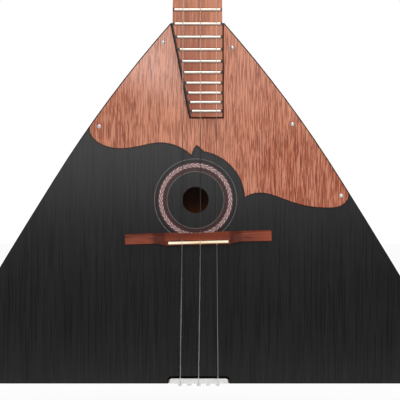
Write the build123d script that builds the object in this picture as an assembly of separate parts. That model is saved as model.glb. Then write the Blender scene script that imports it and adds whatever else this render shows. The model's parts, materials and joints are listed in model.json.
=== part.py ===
from build123d import *
from math import cos, hypot, pi, radians, sin, sqrt, tan
import os

# Balalaika, in millimetres and degrees.
# While it is modelled, +X is the right of the front view, +Y points to the back and +Z up the neck;
# z = 0 is the bottom edge of the soundboard and y = 0 its front face.
# At export everything is shifted so that the origin lies at the hanger point of the neck.

# ------------------------------------------------------------------ scale, frets and joint
scale_length = 440.0
fret_count = 24
joint_fret = 16
joint_fret_offset = 0.9          # the joint fret sits this far below the top of the soundboard

# ------------------------------------------------------------------ soundboard outline
deck_length = 267.5              # bottom edge to neck joint
deck_half_width = 197.4          # at the bottom edge
waist_height = 151.0             # where the two arcs of each side meet
waist_half_width = 106.7
deck_joint_half_width = 19.9     # the soundboard is a little wider than the neck here
lower_side_bulge = 0.91          # height of each arc over its chord
upper_side_bulge = 3.05
deck_thickness = 2.5

# ------------------------------------------------------------------ back shell
wall = 3.0                       # staves and bottom panel
depth_at_bottom = 92.0           # from the front face to the centre stave
depth_at_joint = 42.0
centre_stave_half_bottom = 62.0
centre_stave_half_joint = 8.0
flank_run_bottom = 88.0          # sideways run of the flank staves
flank_run_joint = 8.4
flank_slope = 21.1               # degrees, the same all along, so that the flank staves are flat
panel_tilt = 10.0                # the bottom panel leans inwards by this angle
glue_gap = 0.05                  # inner blocks stay this far inside the shell
lining_gap = 0.25                # the linings' hidden face stays this far off the side staves

# ------------------------------------------------------------------ inner pieces
neck_block_length = 45.0
tail_block_half_width = 45.0
tail_block_height = 22.0
tail_block_depth = 56.0
corner_block_length = 34.0
corner_block_height = 22.0
lining_width = 7.0
lining_depth = 8.5
lining_foot_slope = 0.4          # the strip's foot widens by this share of its depth
lining_end_gap = 4.0             # from the corner blocks
lining_steps = 12                # straight lengths that follow the curve of the side
brace_width = 8.0
brace_depth = 12.0
brace_end_depth = 3.5
brace_taper_length = 26.0
brace_heights = {"brace_lower": 58.0, "brace_middle": 96.0, "brace_upper": 178.0}
patch_radius = 20.0
patch_thickness = 1.5
patch_step = 1.0                 # its hole is this much larger all round than the sound hole

# ------------------------------------------------------------------ sound hole and rosette
hole_centre = (-1.4, 136.2)
hole_radius = 9.8
inlay_depth = 0.8
band_radii = (23.9, 27.7)
line_radii = [(20.9, 21.4), (22.8, 23.3), (27.7, 29.2), (30.3, 30.8)]

# ------------------------------------------------------------------ scratch plate
plate_thickness = 1.2
plate_edge_inset = 0.4           # from the side edge of the soundboard
plate_arc_radius = 36.3          # the stretch that runs round the rosette
plate_arc_angles = (80.5, 40.0, 2.7)
plate_left_height = 190.5        # where the shaped edge leaves the sides
plate_right_height = 142.0
plate_gap_diagonal = 1.1         # bare soundboard left beside the fingerboard
plate_gap_side = 0.4
plate_pins = [
    (-25.5, deck_length - 14.5), (25.7, deck_length - 18.4), (-72.9, 190.7), (70.4, 192.4), (106.5, 139.4),
]
plate_pin_head_radius = 1.6
plate_pin_head_height = 0.9
plate_pin_radius = 0.5

# ------------------------------------------------------------------ neck and fingerboard
joint_half_width = 18.4
nut_half_width = 16.0
neck_depth_at_nut = 16.0
neck_depth_low = 19.0
neck_side_share = 0.3            # straight sides, as a share of the neck's depth
heel_length = 50.0
board_thickness = 6.0
board_end_below_last_fret = 4.3
board_tip_left = -4.5            # x of the lower left corner, where the diagonal cut ends
slot_width = 0.56
slot_depth = 1.8
fret_crown_width = 1.8
fret_crown_height = 0.9
fret_tang_width = 0.5
fret_tang_depth = 1.6
fret_end_inset = 1.3
dot_frets = (2, 5, 7, 10, 12)
dot_radius = 3.0
dot_depth = 1.5
rod_width = 6.0
rod_depth = 8.0
rod_end_margin = 14.0

# ------------------------------------------------------------------ nut and head
nut_length = 4.0
nut_height = 8.2                 # over the neck's front face
nut_slot_width = 1.0
nut_slot_depth = 0.75
nut_rounding = 1.2
head_tilt = 12.0
head_thickness = 14.0
head_half_width = 31.0
head_length = 116.0
overlay_thickness = 1.2

# ------------------------------------------------------------------ bridge
bridge_x = 0.7
bridge_z = 105.0                 # centre of the saddle, over the bottom edge
bridge_turn = 1.5                # the right end stands higher
bridge_half_length = 54.3
bridge_tail_side = 1.8           # foot of the block on the tail side of the saddle's centre
bridge_wing_tail_side = 0.4      # foot of the wings on that side
bridge_neck_side = 7.4
bridge_block_half_length = 23.4
bridge_block_height = 13.0
bridge_block_top = 2.2           # block top on the neck side of the saddle's centre
bridge_wing_end_height = 4.2
bridge_wing_height = 4.8
bridge_waist_length = 7.4        # along which the foot narrows from the block to the wings
bridge_scoop_length = 13.5
bridge_foot_height = 1.5
bridge_arch_half_length = 24.0
bridge_arch_height = 2.6
saddle_half_length = 22.1
saddle_thickness = 2.2
saddle_seat_height = 11.0
saddle_top_height = 15.0
saddle_rounding = 0.8

# ------------------------------------------------------------------ tail nut and end pins
tail_nut_centre = 0.95
tail_nut_width = 43.2
tail_nut_height = 3.7
tail_nut_proud = 1.0
tail_nut_corner = 1.6
tail_nut_gap = 1.2
tooth_count = 5
tooth_pitch = 7.0
tooth_width = 3.2
tooth_drop = 1.6
tooth_rounding = 0.9
pin_distance = 42.0              # along the bottom panel, from the soundboard
pin_neck_radius = 2.0
pin_neck_length = 5.6
pin_head_radius = 3.4
pin_head_height = 2.2
pin_head_rounding = 0.9
pin_depth = 16.0                 # in the panel and the tail block
loop_height = 2.6                # the strings' loops stand this far off the panel

# ------------------------------------------------------------------ strings
string_radii = (0.35, 0.35, 0.2)
string_tail_x = (-12.8, 0.8, 15.3)
string_bridge_x = (-11.3, 2.2, 14.3)
string_nut_x = (-9.4, 1.9, 13.0)
string_seat_gap = 0.03
saddle_bend_radius = 4.0
nut_bend_radius = 2.0
loop_turn = 270.0

# ------------------------------------------------------------------ tuning machines
posts = [(-14.0, 31.0), (-14.0, 75.0), (14.0, 53.0)]   # across and up the head
post_radius = 3.0
post_front = 13.0                # over the head's front face
post_chamfer = 0.6
post_eye_radius = 0.8            # cross hole for the string
post_eye_over_winding = 1.4
running_gap = 0.05
ferrule_radius = 4.5
ferrule_flange_radius = 6.3
ferrule_flange_height = 1.0
base_plate_thickness = 1.2
base_plate_half_width = 9.0
base_plate_up = 8.6
base_plate_down = 12.4
base_plate_corner = 2.5
lug_thickness = 2.0
lug_inner_half_gap = 6.0
lug_half_height = 3.0
lug_rounding = 1.8
worm_over_plate = 3.5            # worm axis over the base plate
wheel_teeth = 14
gear_module = 0.8
wheel_thickness = 2.2
wheel_tip_radius = 5.9
wheel_root_radius = 4.6
wheel_tooth_root = 1.3
wheel_tooth_tip = 0.7
wheel_hub_radius = 4.2
wheel_plate_gap = 0.1
worm_centre_distance = 8.2
worm_core_radius = 2.0
worm_thread_radius = 3.2
worm_thread_turns = 3
worm_thread_root = 1.25
worm_thread_tip = 0.6
worm_thread_sunk = 0.2           # the thread's foot goes this far into the core
journal_radius = 1.5
collar_radius = 2.4
collar_length = 1.4
shaft_play = 0.2                 # between the worm or the collar and the lugs
shaft_tail = 0.6                 # past the inner lug
knob_start = 21.0                # outwards from the post's axis
knob_length = 15.0
knob_width = 13.0
knob_thickness = 7.0
knob_rounding = 2.8
knob_socket = 8.0
knob_neck_radius = 2.8
knob_neck_length = 2.0
wheel_screw_radius = 1.2
wheel_screw_depth = 4.0
wheel_screw_head_radius = 4.2
wheel_screw_head_height = 1.2
wheel_screw_head_rounding = 0.4
wheel_screw_slot = (0.7, 0.6)    # width and depth
plate_screw_radius = 1.0
plate_screw_depth = 8.0
plate_screw_head_radius = 1.7
plate_screw_head_height = 0.8
plate_screw_head_rounding = 0.3
plate_screw_slot = (0.5, 0.35)
plate_screw_places = [(-6.2, 6.2), (6.2, 6.2)]
winding_height = 3.4
winding_front = 3.6              # winding's lower side over the head's front face
winding_clearance = 0.3          # from the winding to the end of the straight string
press_gap = 0.02                 # between a pressed-in piece and its hole

# ------------------------------------------------------------------ values worked out from the sizes above
nut_z = deck_length - joint_fret_offset + scale_length * (1 - 2 ** (-joint_fret / 12))
hanger_point = (0.0, 8.0, nut_z - 12.0)
worm_pitch = pi * gear_module
big = 800.0                      # larger than the whole instrument


def fret_height(number):
    """Height of a fret over the bottom edge, from equal temperament."""
    return nut_z - scale_length * (1 - 2 ** (-number / 12))


board_end = fret_height(fret_count) - board_end_below_last_fret


# ------------------------------------------------------------------ helpers
def bulge_point(start, end, bulge):
    """Middle of an arc from start to end that stands `bulge` outwards of its chord."""
    length = hypot(end[0] - start[0], end[1] - start[1])
    across = ((end[1] - start[1]) / length, (start[0] - end[0]) / length)
    return ((start[0] + end[0]) / 2 + across[0] * bulge, (start[1] + end[1]) / 2 + across[1] * bulge)


def arc_x(start, end, bulge, z):
    """x at height z on the arc from start to end."""
    chord = hypot(end[0] - start[0], end[1] - start[1])
    radius = (chord ** 2 / 4 + bulge ** 2) / (2 * bulge)
    centre = bulge_point(start, end, bulge - radius)
    return centre[0] + sqrt(radius ** 2 - (z - centre[1]) ** 2)


side_corner = (deck_half_width, 0.0)
side_waist = (waist_half_width, waist_height)
side_joint = (deck_joint_half_width, deck_length)


def half_width(z):
    """Half width of the soundboard at height z."""
    if z <= waist_height:
        return arc_x(side_corner, side_waist, lower_side_bulge, z)
    return arc_x(side_waist, side_joint, upper_side_bulge, z)


def front_prism(face, front, back):
    """Extrude a sketch drawn in x and z between two depths, front being the smaller y."""
    back_plane = Plane(origin=(0, back, 0), x_dir=(1, 0, 0), z_dir=(0, -1, 0))
    return extrude(back_plane * face, amount=back - front, dir=(0, -1, 0))


def polygon_xz(points, front, back):
    """Straight-edged board drawn in x and z, between two depths."""
    return front_prism(make_face(Polyline(*points, close=True)), front, back)


def hollow_disc(centre, inner, outer, front, back):
    """Ring, or disc when inner is 0, lying in the soundboard's plane."""
    face = Pos(*centre) * Circle(outer)
    if inner > 0:
        face -= Pos(*centre) * Circle(inner)
    return front_prism(face, front, back)


def deck_face(inset=0.0):
    """Outline of the soundboard in x and z, made smaller by inset."""
    lower = ThreePointArc(side_corner, bulge_point(side_corner, side_waist, lower_side_bulge), side_waist)
    upper = ThreePointArc(side_waist, bulge_point(side_waist, side_joint, upper_side_bulge), side_joint)
    right = lower + upper
    outline = right + mirror(right, about=Plane.YZ)
    outline += Line((-deck_half_width, 0), side_corner)
    outline += Line((-deck_joint_half_width, deck_length), side_joint)
    face = make_face(outline.edges())
    return offset(face, amount=-inset, kind=Kind.INTERSECTION) if inset else face


def lerp(low, high, z):
    """Value at height z when it runs straight from the bottom edge to the neck joint."""
    return low + (high - low) * z / deck_length


def back_section(z, inset=0.0):
    """Right half of the shell's section at height z: soundboard edge, outer ridge and inner ridge."""
    depth = lerp(depth_at_bottom, depth_at_joint, z)
    centre_half = lerp(centre_stave_half_bottom, centre_stave_half_joint, z)
    run = lerp(flank_run_bottom, flank_run_joint, z)
    slope = radians(flank_slope)
    edge = (half_width(z), deck_thickness)
    outer = (centre_half + run, depth - run * tan(slope))
    outer_inside = (outer[0] - inset * sin(slope), outer[1] - inset * cos(slope))
    inner_inside = (centre_half - inset * tan(slope / 2), depth - inset)
    lean = hypot(edge[0] - outer[0], edge[1] - outer[1]) / (outer[1] - edge[1])
    return [(edge[0] - inset * lean, edge[1]), outer_inside, inner_inside]


section_heights = [deck_length * step / 6 for step in range(7)]


def loft_sections(section_of):
    """Smooth solid through closed sections, one at each section height."""
    faces = []
    for z in section_heights:
        points = [(x, y, z) for x, y in section_of(z)]
        faces.append(make_face(Polyline(*points, close=True)))
    return loft(faces)


def shell_volume(inset):
    """Space bounded by the staves, the soundboard's back and the planes of the two ends."""
    def whole(z):
        right = back_section(z, inset)
        return right + [(-x, y) for x, y in reversed(right)]
    return loft_sections(whole)


panel_plane = Plane(
    origin=(0, deck_thickness, 0),
    x_dir=(1, 0, 0),
    z_dir=(0, -sin(radians(panel_tilt)), cos(radians(panel_tilt))),
)


def panel_slab(bottom, top):
    """Layer parallel to the bottom panel, between two distances from its outer face."""
    return panel_plane * Pos(0, 0, bottom) * Box(
        big, big, top - bottom, align=(Align.CENTER, Align.CENTER, Align.MIN)
    )


head_plane = Plane(
    origin=(0, 0, nut_z + nut_length),
    x_dir=(1, 0, 0),
    z_dir=(0, -cos(radians(head_tilt)), sin(radians(head_tilt))),
)


def disc(radius, bottom, top):
    """Cylinder on the local z axis between two heights."""
    return Pos(0, 0, bottom) * Cylinder(
        radius, top - bottom, align=(Align.CENTER, Align.CENTER, Align.MIN)
    )


# ------------------------------------------------------------------ soundboard and its trim
def rosette_band():
    return hollow_disc(hole_centre, band_radii[0], band_radii[1], 0, inlay_depth)


def rosette_lines():
    return [hollow_disc(hole_centre, inner, outer, 0, inlay_depth) for inner, outer in line_radii]


loop_point = panel_plane.from_local_coords((0, pin_distance, -loop_height))
tooth_corner = Vector(0, -tail_nut_proud, -tooth_drop)
string_run = (loop_point - tooth_corner).normalized()     # along the teeth's undersides to the end pins


def tail_nut_face(grow):
    """Bar of the tail nut with its two upper corners rounded, grown by grow on its top and sides."""
    half = tail_nut_width / 2 + grow
    top = tail_nut_height + grow
    bar = Pos(tail_nut_centre, top / 2) * Rectangle(2 * half, top)
    return fillet(bar.vertices().group_by(Axis.Y)[-1], tail_nut_corner + grow)


def soundboard():
    board = front_prism(deck_face(), 0, deck_thickness)
    board -= hollow_disc(hole_centre, 0, hole_radius, 0, deck_thickness)
    board -= rosette_band()
    for ring in rosette_lines():
        board -= ring
    board -= front_prism(tail_nut_face(tail_nut_gap), 0, deck_thickness)
    for x, z in plate_pins:
        board -= hollow_disc((x, z), 0, plate_pin_radius + press_gap, 0, deck_thickness)
    return board


def soundhole_patch():
    back = deck_thickness + patch_thickness
    return hollow_disc(hole_centre, hole_radius + patch_step, patch_radius, deck_thickness, back)


def plate_side_point(z):
    """Point of the plate's outline beside the soundboard's right edge."""
    return half_width(z) - plate_edge_inset, z


def plate_lower_edge():
    """Shaped lower edge of the scratch plate: two waves, a tip and an arc round the rosette."""
    centre_x, centre_z = hole_centre
    arc = [
        (centre_x + plate_arc_radius * cos(radians(angle)), centre_z + plate_arc_radius * sin(radians(angle)))
        for angle in plate_arc_angles
    ]
    left_x, left_z = plate_side_point(plate_left_height)
    tip = (-4.3, 168.6)
    notch = (-0.6, 176.6)
    left_wave = Spline((-left_x, left_z), (-79.3, 184.6), (-72.0, 177.7), (-56.5, 174.2), (-41.0, 176.4),
                       (-28.5, 178.5), (-14.5, 175.8), tip)
    notch_left = ThreePointArc(tip, (-2.9, 173.0), notch)
    notch_right = ThreePointArc(notch, (1.8, 174.7), arc[0])
    round_rosette = ThreePointArc(*arc)
    right_wave = Spline(arc[2], (48.5, 141.2), (66.0, 136.0), (82.0, 131.4), (96.5, 130.2), (107.5, 132.3),
                        (111.6, 136.6), plate_side_point(plate_right_height))
    return [left_wave, notch_left, notch_right, round_rosette, right_wave]


def fingerboard_outline(side_gap=0.0, diagonal_gap=0.0):
    """Corners of the fingerboard over the soundboard, grown by the two gaps."""
    left_run = joint_half_width + board_tip_left
    drop = deck_length - board_end
    shift = diagonal_gap * hypot(left_run, drop) / drop
    low = board_end - side_gap
    low_left = board_tip_left - shift + side_gap * left_run / drop
    return [
        (joint_half_width + side_gap, deck_length),
        (joint_half_width + side_gap, low),
        (low_left, low),
        (-joint_half_width - shift, deck_length),
    ]


def scratch_plate():
    curve = plate_lower_edge()
    start = curve[0] @ 0
    end = curve[-1] @ 1
    cap = Polyline((end.X, end.Y), (big, end.Y), (big, big), (-big, big), (-big, start.Y), (start.X, start.Y))
    above = make_face([piece.edge() for piece in curve] + list(cap.edges()))
    face = deck_face(plate_edge_inset) & above
    gap = fingerboard_outline(plate_gap_side, plate_gap_diagonal)
    gap = [(gap[0][0], big), gap[1], gap[2], gap[3], (gap[3][0], big)]
    face -= make_face(Polyline(*gap, close=True))
    plate = front_prism(face, -plate_thickness, 0)
    for x, z in plate_pins:
        plate -= hollow_disc((x, z), 0, plate_pin_radius + press_gap, -plate_thickness, 0)
    return plate


def scratch_plate_pins():
    """Domed pins through the plate into the soundboard."""
    pins = []
    rise = plate_pin_head_height
    ball_radius = (plate_pin_head_radius ** 2 + rise ** 2) / (2 * rise)
    for x, z in plate_pins:
        head = Pos(0, 0, rise - ball_radius) * Sphere(ball_radius) & disc(plate_pin_head_radius, 0, rise)
        pin = head + disc(plate_pin_radius, -plate_thickness - deck_thickness, rise / 2)
        pins.append(Plane(origin=(x, -plate_thickness, z), x_dir=(1, 0, 0), z_dir=(0, -1, 0)) * pin)
    return pins


# ------------------------------------------------------------------ back shell
def above_panel(solid):
    """Trim a piece so that it ends on the inner face of the bottom panel."""
    return solid - panel_slab(wall - big, wall)


def stave(corner_of):
    return above_panel(loft_sections(corner_of))


def mirror_points(points):
    return [(-x, y) for x, y in points]


def outer_stave_section(z):
    outside = back_section(z)
    inside = back_section(z, wall)
    return [outside[0], outside[1], inside[1], inside[0]]


def flank_stave_section(z):
    outside = back_section(z)
    inside = back_section(z, wall)
    return [outside[1], outside[2], inside[2], inside[1]]


def flat_board(section_of):
    """Straight board between the sections at the two ends of the body, with true planes all round."""
    low = [Vector(x, y, 0) for x, y in section_of(0)]
    high = [Vector(x, y, deck_length) for x, y in section_of(deck_length)]
    outlines = [low, high]
    for index in range(len(low)):
        outlines.append([low[index - 1], low[index], high[index], high[index - 1]])
    board = Solid(Shell([Face(Wire.make_polygon(points)) for points in outlines]))
    return above_panel(board)


def centre_stave():
    """Flat middle board of the back, which the instrument can lie on."""
    def middle(z):
        outside = back_section(z)[2]
        inside = back_section(z, wall)[2]
        return [outside, (-outside[0], outside[1]), (-inside[0], inside[1]), inside]
    return flat_board(middle)


def staves():
    return {
        "stave_right_side": stave(outer_stave_section),
        "stave_left_side": stave(lambda z: mirror_points(outer_stave_section(z))),
        "stave_right_flank": flat_board(flank_stave_section),
        "stave_left_flank": flat_board(lambda z: mirror_points(flank_stave_section(z))),
        "stave_centre": centre_stave(),
    }


def end_pin_places():
    return [x - pin_neck_radius - radius - string_seat_gap for x, radius in zip(string_tail_x, string_radii)]


def pin_holes():
    holes = []
    hole = disc(pin_neck_radius + press_gap, -1, pin_depth + 1)
    for x in end_pin_places():
        holes.append(panel_plane * Pos(x, pin_distance, 0) * hole)
    return holes


def bottom_panel():
    panel = shell_volume(0) & panel_slab(0, wall)
    for hole in pin_holes():
        panel -= hole
    return panel


# ------------------------------------------------------------------ pieces inside the shell
def inner_volume():
    return shell_volume(wall + glue_gap)


def neck_block(inside):
    base = Pos(0, 0, deck_length - neck_block_length)
    cut = base * Box(big, big, neck_block_length, align=(Align.CENTER, Align.CENTER, Align.MIN))
    return inside & cut


def tail_block(inside):
    layer = panel_slab(wall, wall + tail_block_height)
    width = Box(2 * tail_block_half_width, 2 * tail_block_depth, big)
    block = inside & layer & width
    for hole in pin_holes():
        block -= hole
    return block


def corner_block(inside, side):
    layer = panel_slab(wall, wall + corner_block_height)
    middle = deck_half_width - wall - corner_block_length / 2
    reach = Pos(side * middle, 0, 0) * Box(corner_block_length, big, big)
    return inside & layer & reach


def lining_reach():
    """How far the foot of a lining runs inwards along the soundboard."""
    return lining_width + lining_depth * lining_foot_slope


def lining_side(side):
    """Triangular strip in the corner between the soundboard and a side stave."""
    low = wall + corner_block_height + lining_end_gap
    high = deck_length - neck_block_length - glue_gap
    faces = []
    for step in range(lining_steps + 1):
        z = low + (high - low) * step / lining_steps
        edge, ridge, _ = back_section(z, wall + lining_gap)
        share = lining_depth / (ridge[1] - edge[1])
        deep = (edge[0] + (ridge[0] - edge[0]) * share, edge[1] + lining_depth)
        corners = [edge, deep, (edge[0] - lining_reach(), edge[1])]
        faces.append(make_face(Polyline(*[(side * x, y, z) for x, y in corners], close=True)))
    return loft(faces, ruled=True)


def lining_bottom():
    """Pair of strips in the corner between the soundboard and the bottom panel, beside the tail block."""
    inner_end = tail_block_half_width + glue_gap
    outer_end = deck_half_width - wall - corner_block_length - glue_gap
    strips = []
    section = make_face(Polyline((0, 0), (lining_depth, 0), (0, lining_width), close=True))
    for side in (-1, 1):
        low = min(side * inner_end, side * outer_end)
        start = Plane(origin=(low, 0, 0), x_dir=(0, 1, 0), z_dir=(1, 0, 0))
        corner = Pos(0, deck_thickness, wall / cos(radians(panel_tilt)))
        strip = corner * (start * extrude(section, amount=outer_end - inner_end, dir=(0, 0, 1)))
        strips.append(above_panel(strip))
    return strips


def brace(z):
    """Bar across the back of the soundboard, thinner towards its ends."""
    top_corner = back_section(z + brace_width / 2, wall + glue_gap)[0][0]
    half = top_corner - lining_reach() - lining_gap
    back = deck_thickness
    points = [
        (-half, back), (half, back), (half, back + brace_end_depth),
        (half - brace_taper_length, back + brace_depth), (brace_taper_length - half, back + brace_depth),
        (-half, back + brace_end_depth),
    ]
    face = make_face(Polyline(*points, close=True))
    return Pos(0, 0, z - brace_width / 2) * extrude(face, amount=brace_width, dir=(0, 0, 1))


# ------------------------------------------------------------------ neck, fingerboard and head
def neck_section(z, half, depth):
    """Flat front, short straight sides and a round back, whose curve comes to 3/4 of its control points."""
    shoulder = depth * neck_side_share
    reach = shoulder + (depth - shoulder) * 4 / 3
    outline = Polyline((-half, shoulder, z), (-half, 0, z), (half, 0, z), (half, shoulder, z))
    back = Bezier((half, shoulder, z), (half, reach, z), (-half, reach, z), (-half, shoulder, z))
    return make_face(outline.edges() + back.edges())


def neck_half_width(z):
    share = (z - deck_length) / (nut_z - deck_length)
    return joint_half_width + (nut_half_width - joint_half_width) * share


def neck_slice(z):
    """Section of the neck at height z: the heel runs out into the even slope of the shaft."""
    shaft_share = (z - deck_length) / (nut_z - deck_length)
    depth = neck_depth_low + (neck_depth_at_nut - neck_depth_low) * shaft_share
    heel_share = max(0.0, 1 - (z - deck_length) / heel_length)
    return neck_section(z, neck_half_width(z), depth + (depth_at_joint - neck_depth_low) * heel_share ** 2)


def head_outline():
    """Flared head with a three-lobed crown, drawn across and up the head."""
    side = head_half_width
    length = head_length
    shoulder = (side - 3.5, length - 24.0)
    lobe_end = (side - 20.0, length - 15.0)
    right_side = Spline((nut_half_width, 0), (nut_half_width + 2.5, 12.0), (side - 4.5, 34.0), (side, 62.0),
                        shoulder, tangents=((0, 1), (-0.5, 1)))
    lobe = ThreePointArc(shoulder, (side - 9.0, length - 10.0), lobe_end)
    crown = ThreePointArc(lobe_end, (0, length), (-lobe_end[0], lobe_end[1]))
    right = right_side + lobe
    left = mirror(right, about=Plane.YZ)
    base = Line((-nut_half_width, 0), (nut_half_width, 0))
    return make_face(right.edges() + left.edges() + crown.edges() + base.edges())


def neck():
    shaft = loft([neck_slice(deck_length + heel_length), neck_slice(nut_z)], ruled=True)
    heel = loft([neck_slice(deck_length + heel_length * step / 5) for step in range(6)])
    under_nut = extrude(neck_slice(nut_z), amount=nut_length, dir=(0, 0, 1))
    head = head_plane * extrude(head_outline(), amount=head_thickness, dir=(0, 0, -1))
    body = shaft + heel + under_nut + head
    below = -head_thickness - 1
    bore = disc(ferrule_radius + press_gap, below, 1)
    screw_hole = disc(plate_screw_radius + press_gap, below, plate_screw_depth - head_thickness)
    for x, up in posts:
        body -= head_plane * Pos(x, up, 0) * bore
        for screw_x, screw_up in plate_screw_places:
            body -= head_plane * Pos(x + screw_x, up + screw_up, 0) * screw_hole
    return body - rod_block(press_gap, -1, rod_depth + press_gap)


def rod_block(grow, front, back):
    """Block as long and wide as the neck's rod, grown by grow all round, between two depths."""
    half = rod_width / 2 + grow
    low = deck_length + rod_end_margin - grow
    high = nut_z - rod_end_margin + grow
    return polygon_xz([(-half, low), (half, low), (half, high), (-half, high)], front, back)


def neck_rod():
    return rod_block(0, press_gap, rod_depth)


def head_overlay():
    overlay = head_plane * extrude(head_outline(), amount=overlay_thickness, dir=(0, 0, 1))
    for x, up in posts:
        overlay -= head_plane * Pos(x, up, 0) * disc(ferrule_radius + press_gap, -1, overlay_thickness + 1)
    return overlay


def dot_places():
    return [(0.0, (fret_height(number) + fret_height(number - 1)) / 2) for number in dot_frets]


def fingerboard():
    low_right, low_corner, low_left, joint_left = fingerboard_outline()
    corners = [(-nut_half_width, nut_z), (nut_half_width, nut_z), low_right, low_corner, low_left, joint_left]
    board = polygon_xz(corners, -board_thickness, 0)
    for number in range(1, fret_count + 1):
        z = fret_height(number)
        board -= Pos(0, -board_thickness, z) * Box(3 * joint_half_width, 2 * slot_depth, slot_width)
    for centre in dot_places():
        board -= hollow_disc(centre, 0, dot_radius + press_gap, -board_thickness, dot_depth - board_thickness)
    return board


def position_dots():
    back = dot_depth - board_thickness
    return [hollow_disc(centre, 0, dot_radius, -board_thickness, back) for centre in dot_places()]


def board_edges(z):
    """Left and right edge of the fingerboard at height z."""
    if z >= deck_length:
        return -neck_half_width(z), neck_half_width(z)
    share = (deck_length - z) / (deck_length - board_end)
    return -joint_half_width + (joint_half_width + board_tip_left) * share, joint_half_width


def frets():
    """Fret wires: a round crown on a tang that goes down the slot."""
    wires = []
    crown = fret_crown_width / 2
    tang = fret_tang_width / 2
    for number in range(1, fret_count + 1):
        z = fret_height(number)
        left, right = board_edges(z - crown)
        start = left + fret_end_inset
        length = right - fret_end_inset - start
        top = EllipticalCenterArc((0, 0), crown, fret_crown_height, start_angle=0, arc_size=180)
        foot = Polyline(
            (-crown, 0), (-tang, 0), (-tang, -fret_tang_depth),
            (tang, -fret_tang_depth), (tang, 0), (crown, 0),
        )
        section = make_face(top.edges() + foot.edges())
        place = Plane(origin=(start, -board_thickness, z), x_dir=(0, 0, 1), z_dir=(1, 0, 0))
        wire = place * extrude(section, amount=length, dir=(0, 0, 1))
        wires.append(wire)
    return wires


def nut():
    half = nut_half_width
    block = Pos(0, -nut_height / 2, nut_z + nut_length / 2) * Box(2 * half, nut_height, nut_length)
    block = fillet(block.edges().filter_by(Axis.X).group_by(Axis.Y)[0], nut_rounding)
    over = (Align.CENTER, Align.MAX, Align.CENTER)
    slot = Box(nut_slot_width, nut_height, 3 * nut_length, align=over)
    for x, radius in zip(string_nut_x, string_radii):
        depth = nut_string_y(radius) + radius + string_seat_gap
        block -= Pos(x, depth, nut_z) * slot
    return block


def nut_string_y(radius):
    """Depth of a string's centre line where it crosses the nut."""
    return -nut_height + nut_slot_depth - radius


# ------------------------------------------------------------------ bridge
bridge_plane = Plane(
    origin=(bridge_x, 0, bridge_z),
    x_dir=(cos(radians(bridge_turn)), 0, sin(radians(bridge_turn))),
    z_dir=(0, -1, 0),
)


def bridge_elevation():
    """Outline across the bridge: arched foot, low wings and scoops up to the block."""
    end = bridge_half_length
    block = bridge_block_half_length
    scoop_end = (block + bridge_scoop_length, bridge_wing_height)
    wing = Polyline((bridge_arch_half_length, 0), (end, 0), (end, bridge_wing_end_height), scoop_end)
    scoop = TangentArc(scoop_end, (block, bridge_block_height), tangent=(-1, 0))
    right = wing + scoop
    left = mirror(right, about=Plane.YZ)
    top = Line((block, bridge_block_height), (-block, bridge_block_height))
    arch = ThreePointArc((-bridge_arch_half_length, 0), (0, bridge_arch_height), (bridge_arch_half_length, 0))
    return make_face(right.edges() + left.edges() + top.edges() + arch.edges())


def bridge_profile():
    """Section of the block: upright on the tail side and sloping on the neck side."""
    return make_face(Polyline(
        (-bridge_tail_side, 0), (bridge_neck_side, 0), (bridge_neck_side, bridge_foot_height),
        (bridge_block_top, bridge_block_height), (-bridge_tail_side, bridge_block_height), close=True,
    ))


def bridge_foot():
    """Outline on the soundboard, narrower under the wings."""
    end = bridge_half_length
    block = bridge_block_half_length
    right = [(block, -bridge_tail_side), (block + bridge_waist_length, -bridge_wing_tail_side),
             (end, -bridge_wing_tail_side), (end, bridge_neck_side)]
    return make_face(Polyline(*right, *[(-x, y) for x, y in reversed(right)], close=True))


def bridge():
    """Long foot with two low wings, scooped up to a raised block that carries the saddle."""
    front = Plane(origin=(0, big / 2, 0), x_dir=(1, 0, 0), z_dir=(0, -1, 0))
    side = Plane(origin=(-big / 2, 0, 0), x_dir=(0, 1, 0), z_dir=(1, 0, 0))
    wood = extrude(front * bridge_elevation(), amount=big, dir=(0, -1, 0))
    wood &= extrude(side * bridge_profile(), amount=big, dir=(1, 0, 0))
    wood &= extrude(bridge_foot(), amount=bridge_block_height, dir=(0, 0, 1))
    seat = Pos(0, 0, saddle_seat_height) * Box(
        2 * (saddle_half_length + press_gap), saddle_thickness + 2 * press_gap, bridge_block_height,
        align=(Align.CENTER, Align.CENTER, Align.MIN),
    )
    return bridge_plane * (wood - seat)


def bridge_saddle():
    height = saddle_top_height - saddle_seat_height
    bar = Pos(0, 0, saddle_seat_height) * Box(
        2 * saddle_half_length, saddle_thickness, height, align=(Align.CENTER, Align.CENTER, Align.MIN)
    )
    bar = fillet(bar.edges().filter_by(Axis.X).group_by(Axis.Z)[-1], saddle_rounding)
    return bridge_plane * bar


# ------------------------------------------------------------------ tail
def tail_nut():
    """Bar let into the bottom edge, with teeth that lap over it and slope as the strings run."""
    bar = front_prism(tail_nut_face(0), -tail_nut_proud, deck_thickness)
    rise = (tail_nut_proud + deck_thickness) * string_run.Z / string_run.Y
    profile = make_face(Polyline(
        (-tail_nut_proud, 0), (-tail_nut_proud, -tooth_drop), (deck_thickness, rise - tooth_drop),
        (deck_thickness, 0), close=True,
    ))
    for index in range(tooth_count):
        x = tail_nut_centre + (index - (tooth_count - 1) / 2) * tooth_pitch
        side = Plane(origin=(x - tooth_width / 2, 0, 0), x_dir=(0, 1, 0), z_dir=(1, 0, 0))
        bar += extrude(side * profile, amount=tooth_width, dir=(1, 0, 0))
    lower_front = bar.edges().filter_by(Axis.X).filter_by(
        lambda edge: abs(edge.center().Y + tail_nut_proud) < 1e-3 and edge.center().Z < -tooth_drop / 2
    )
    return fillet(lower_front, tooth_rounding)


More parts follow.
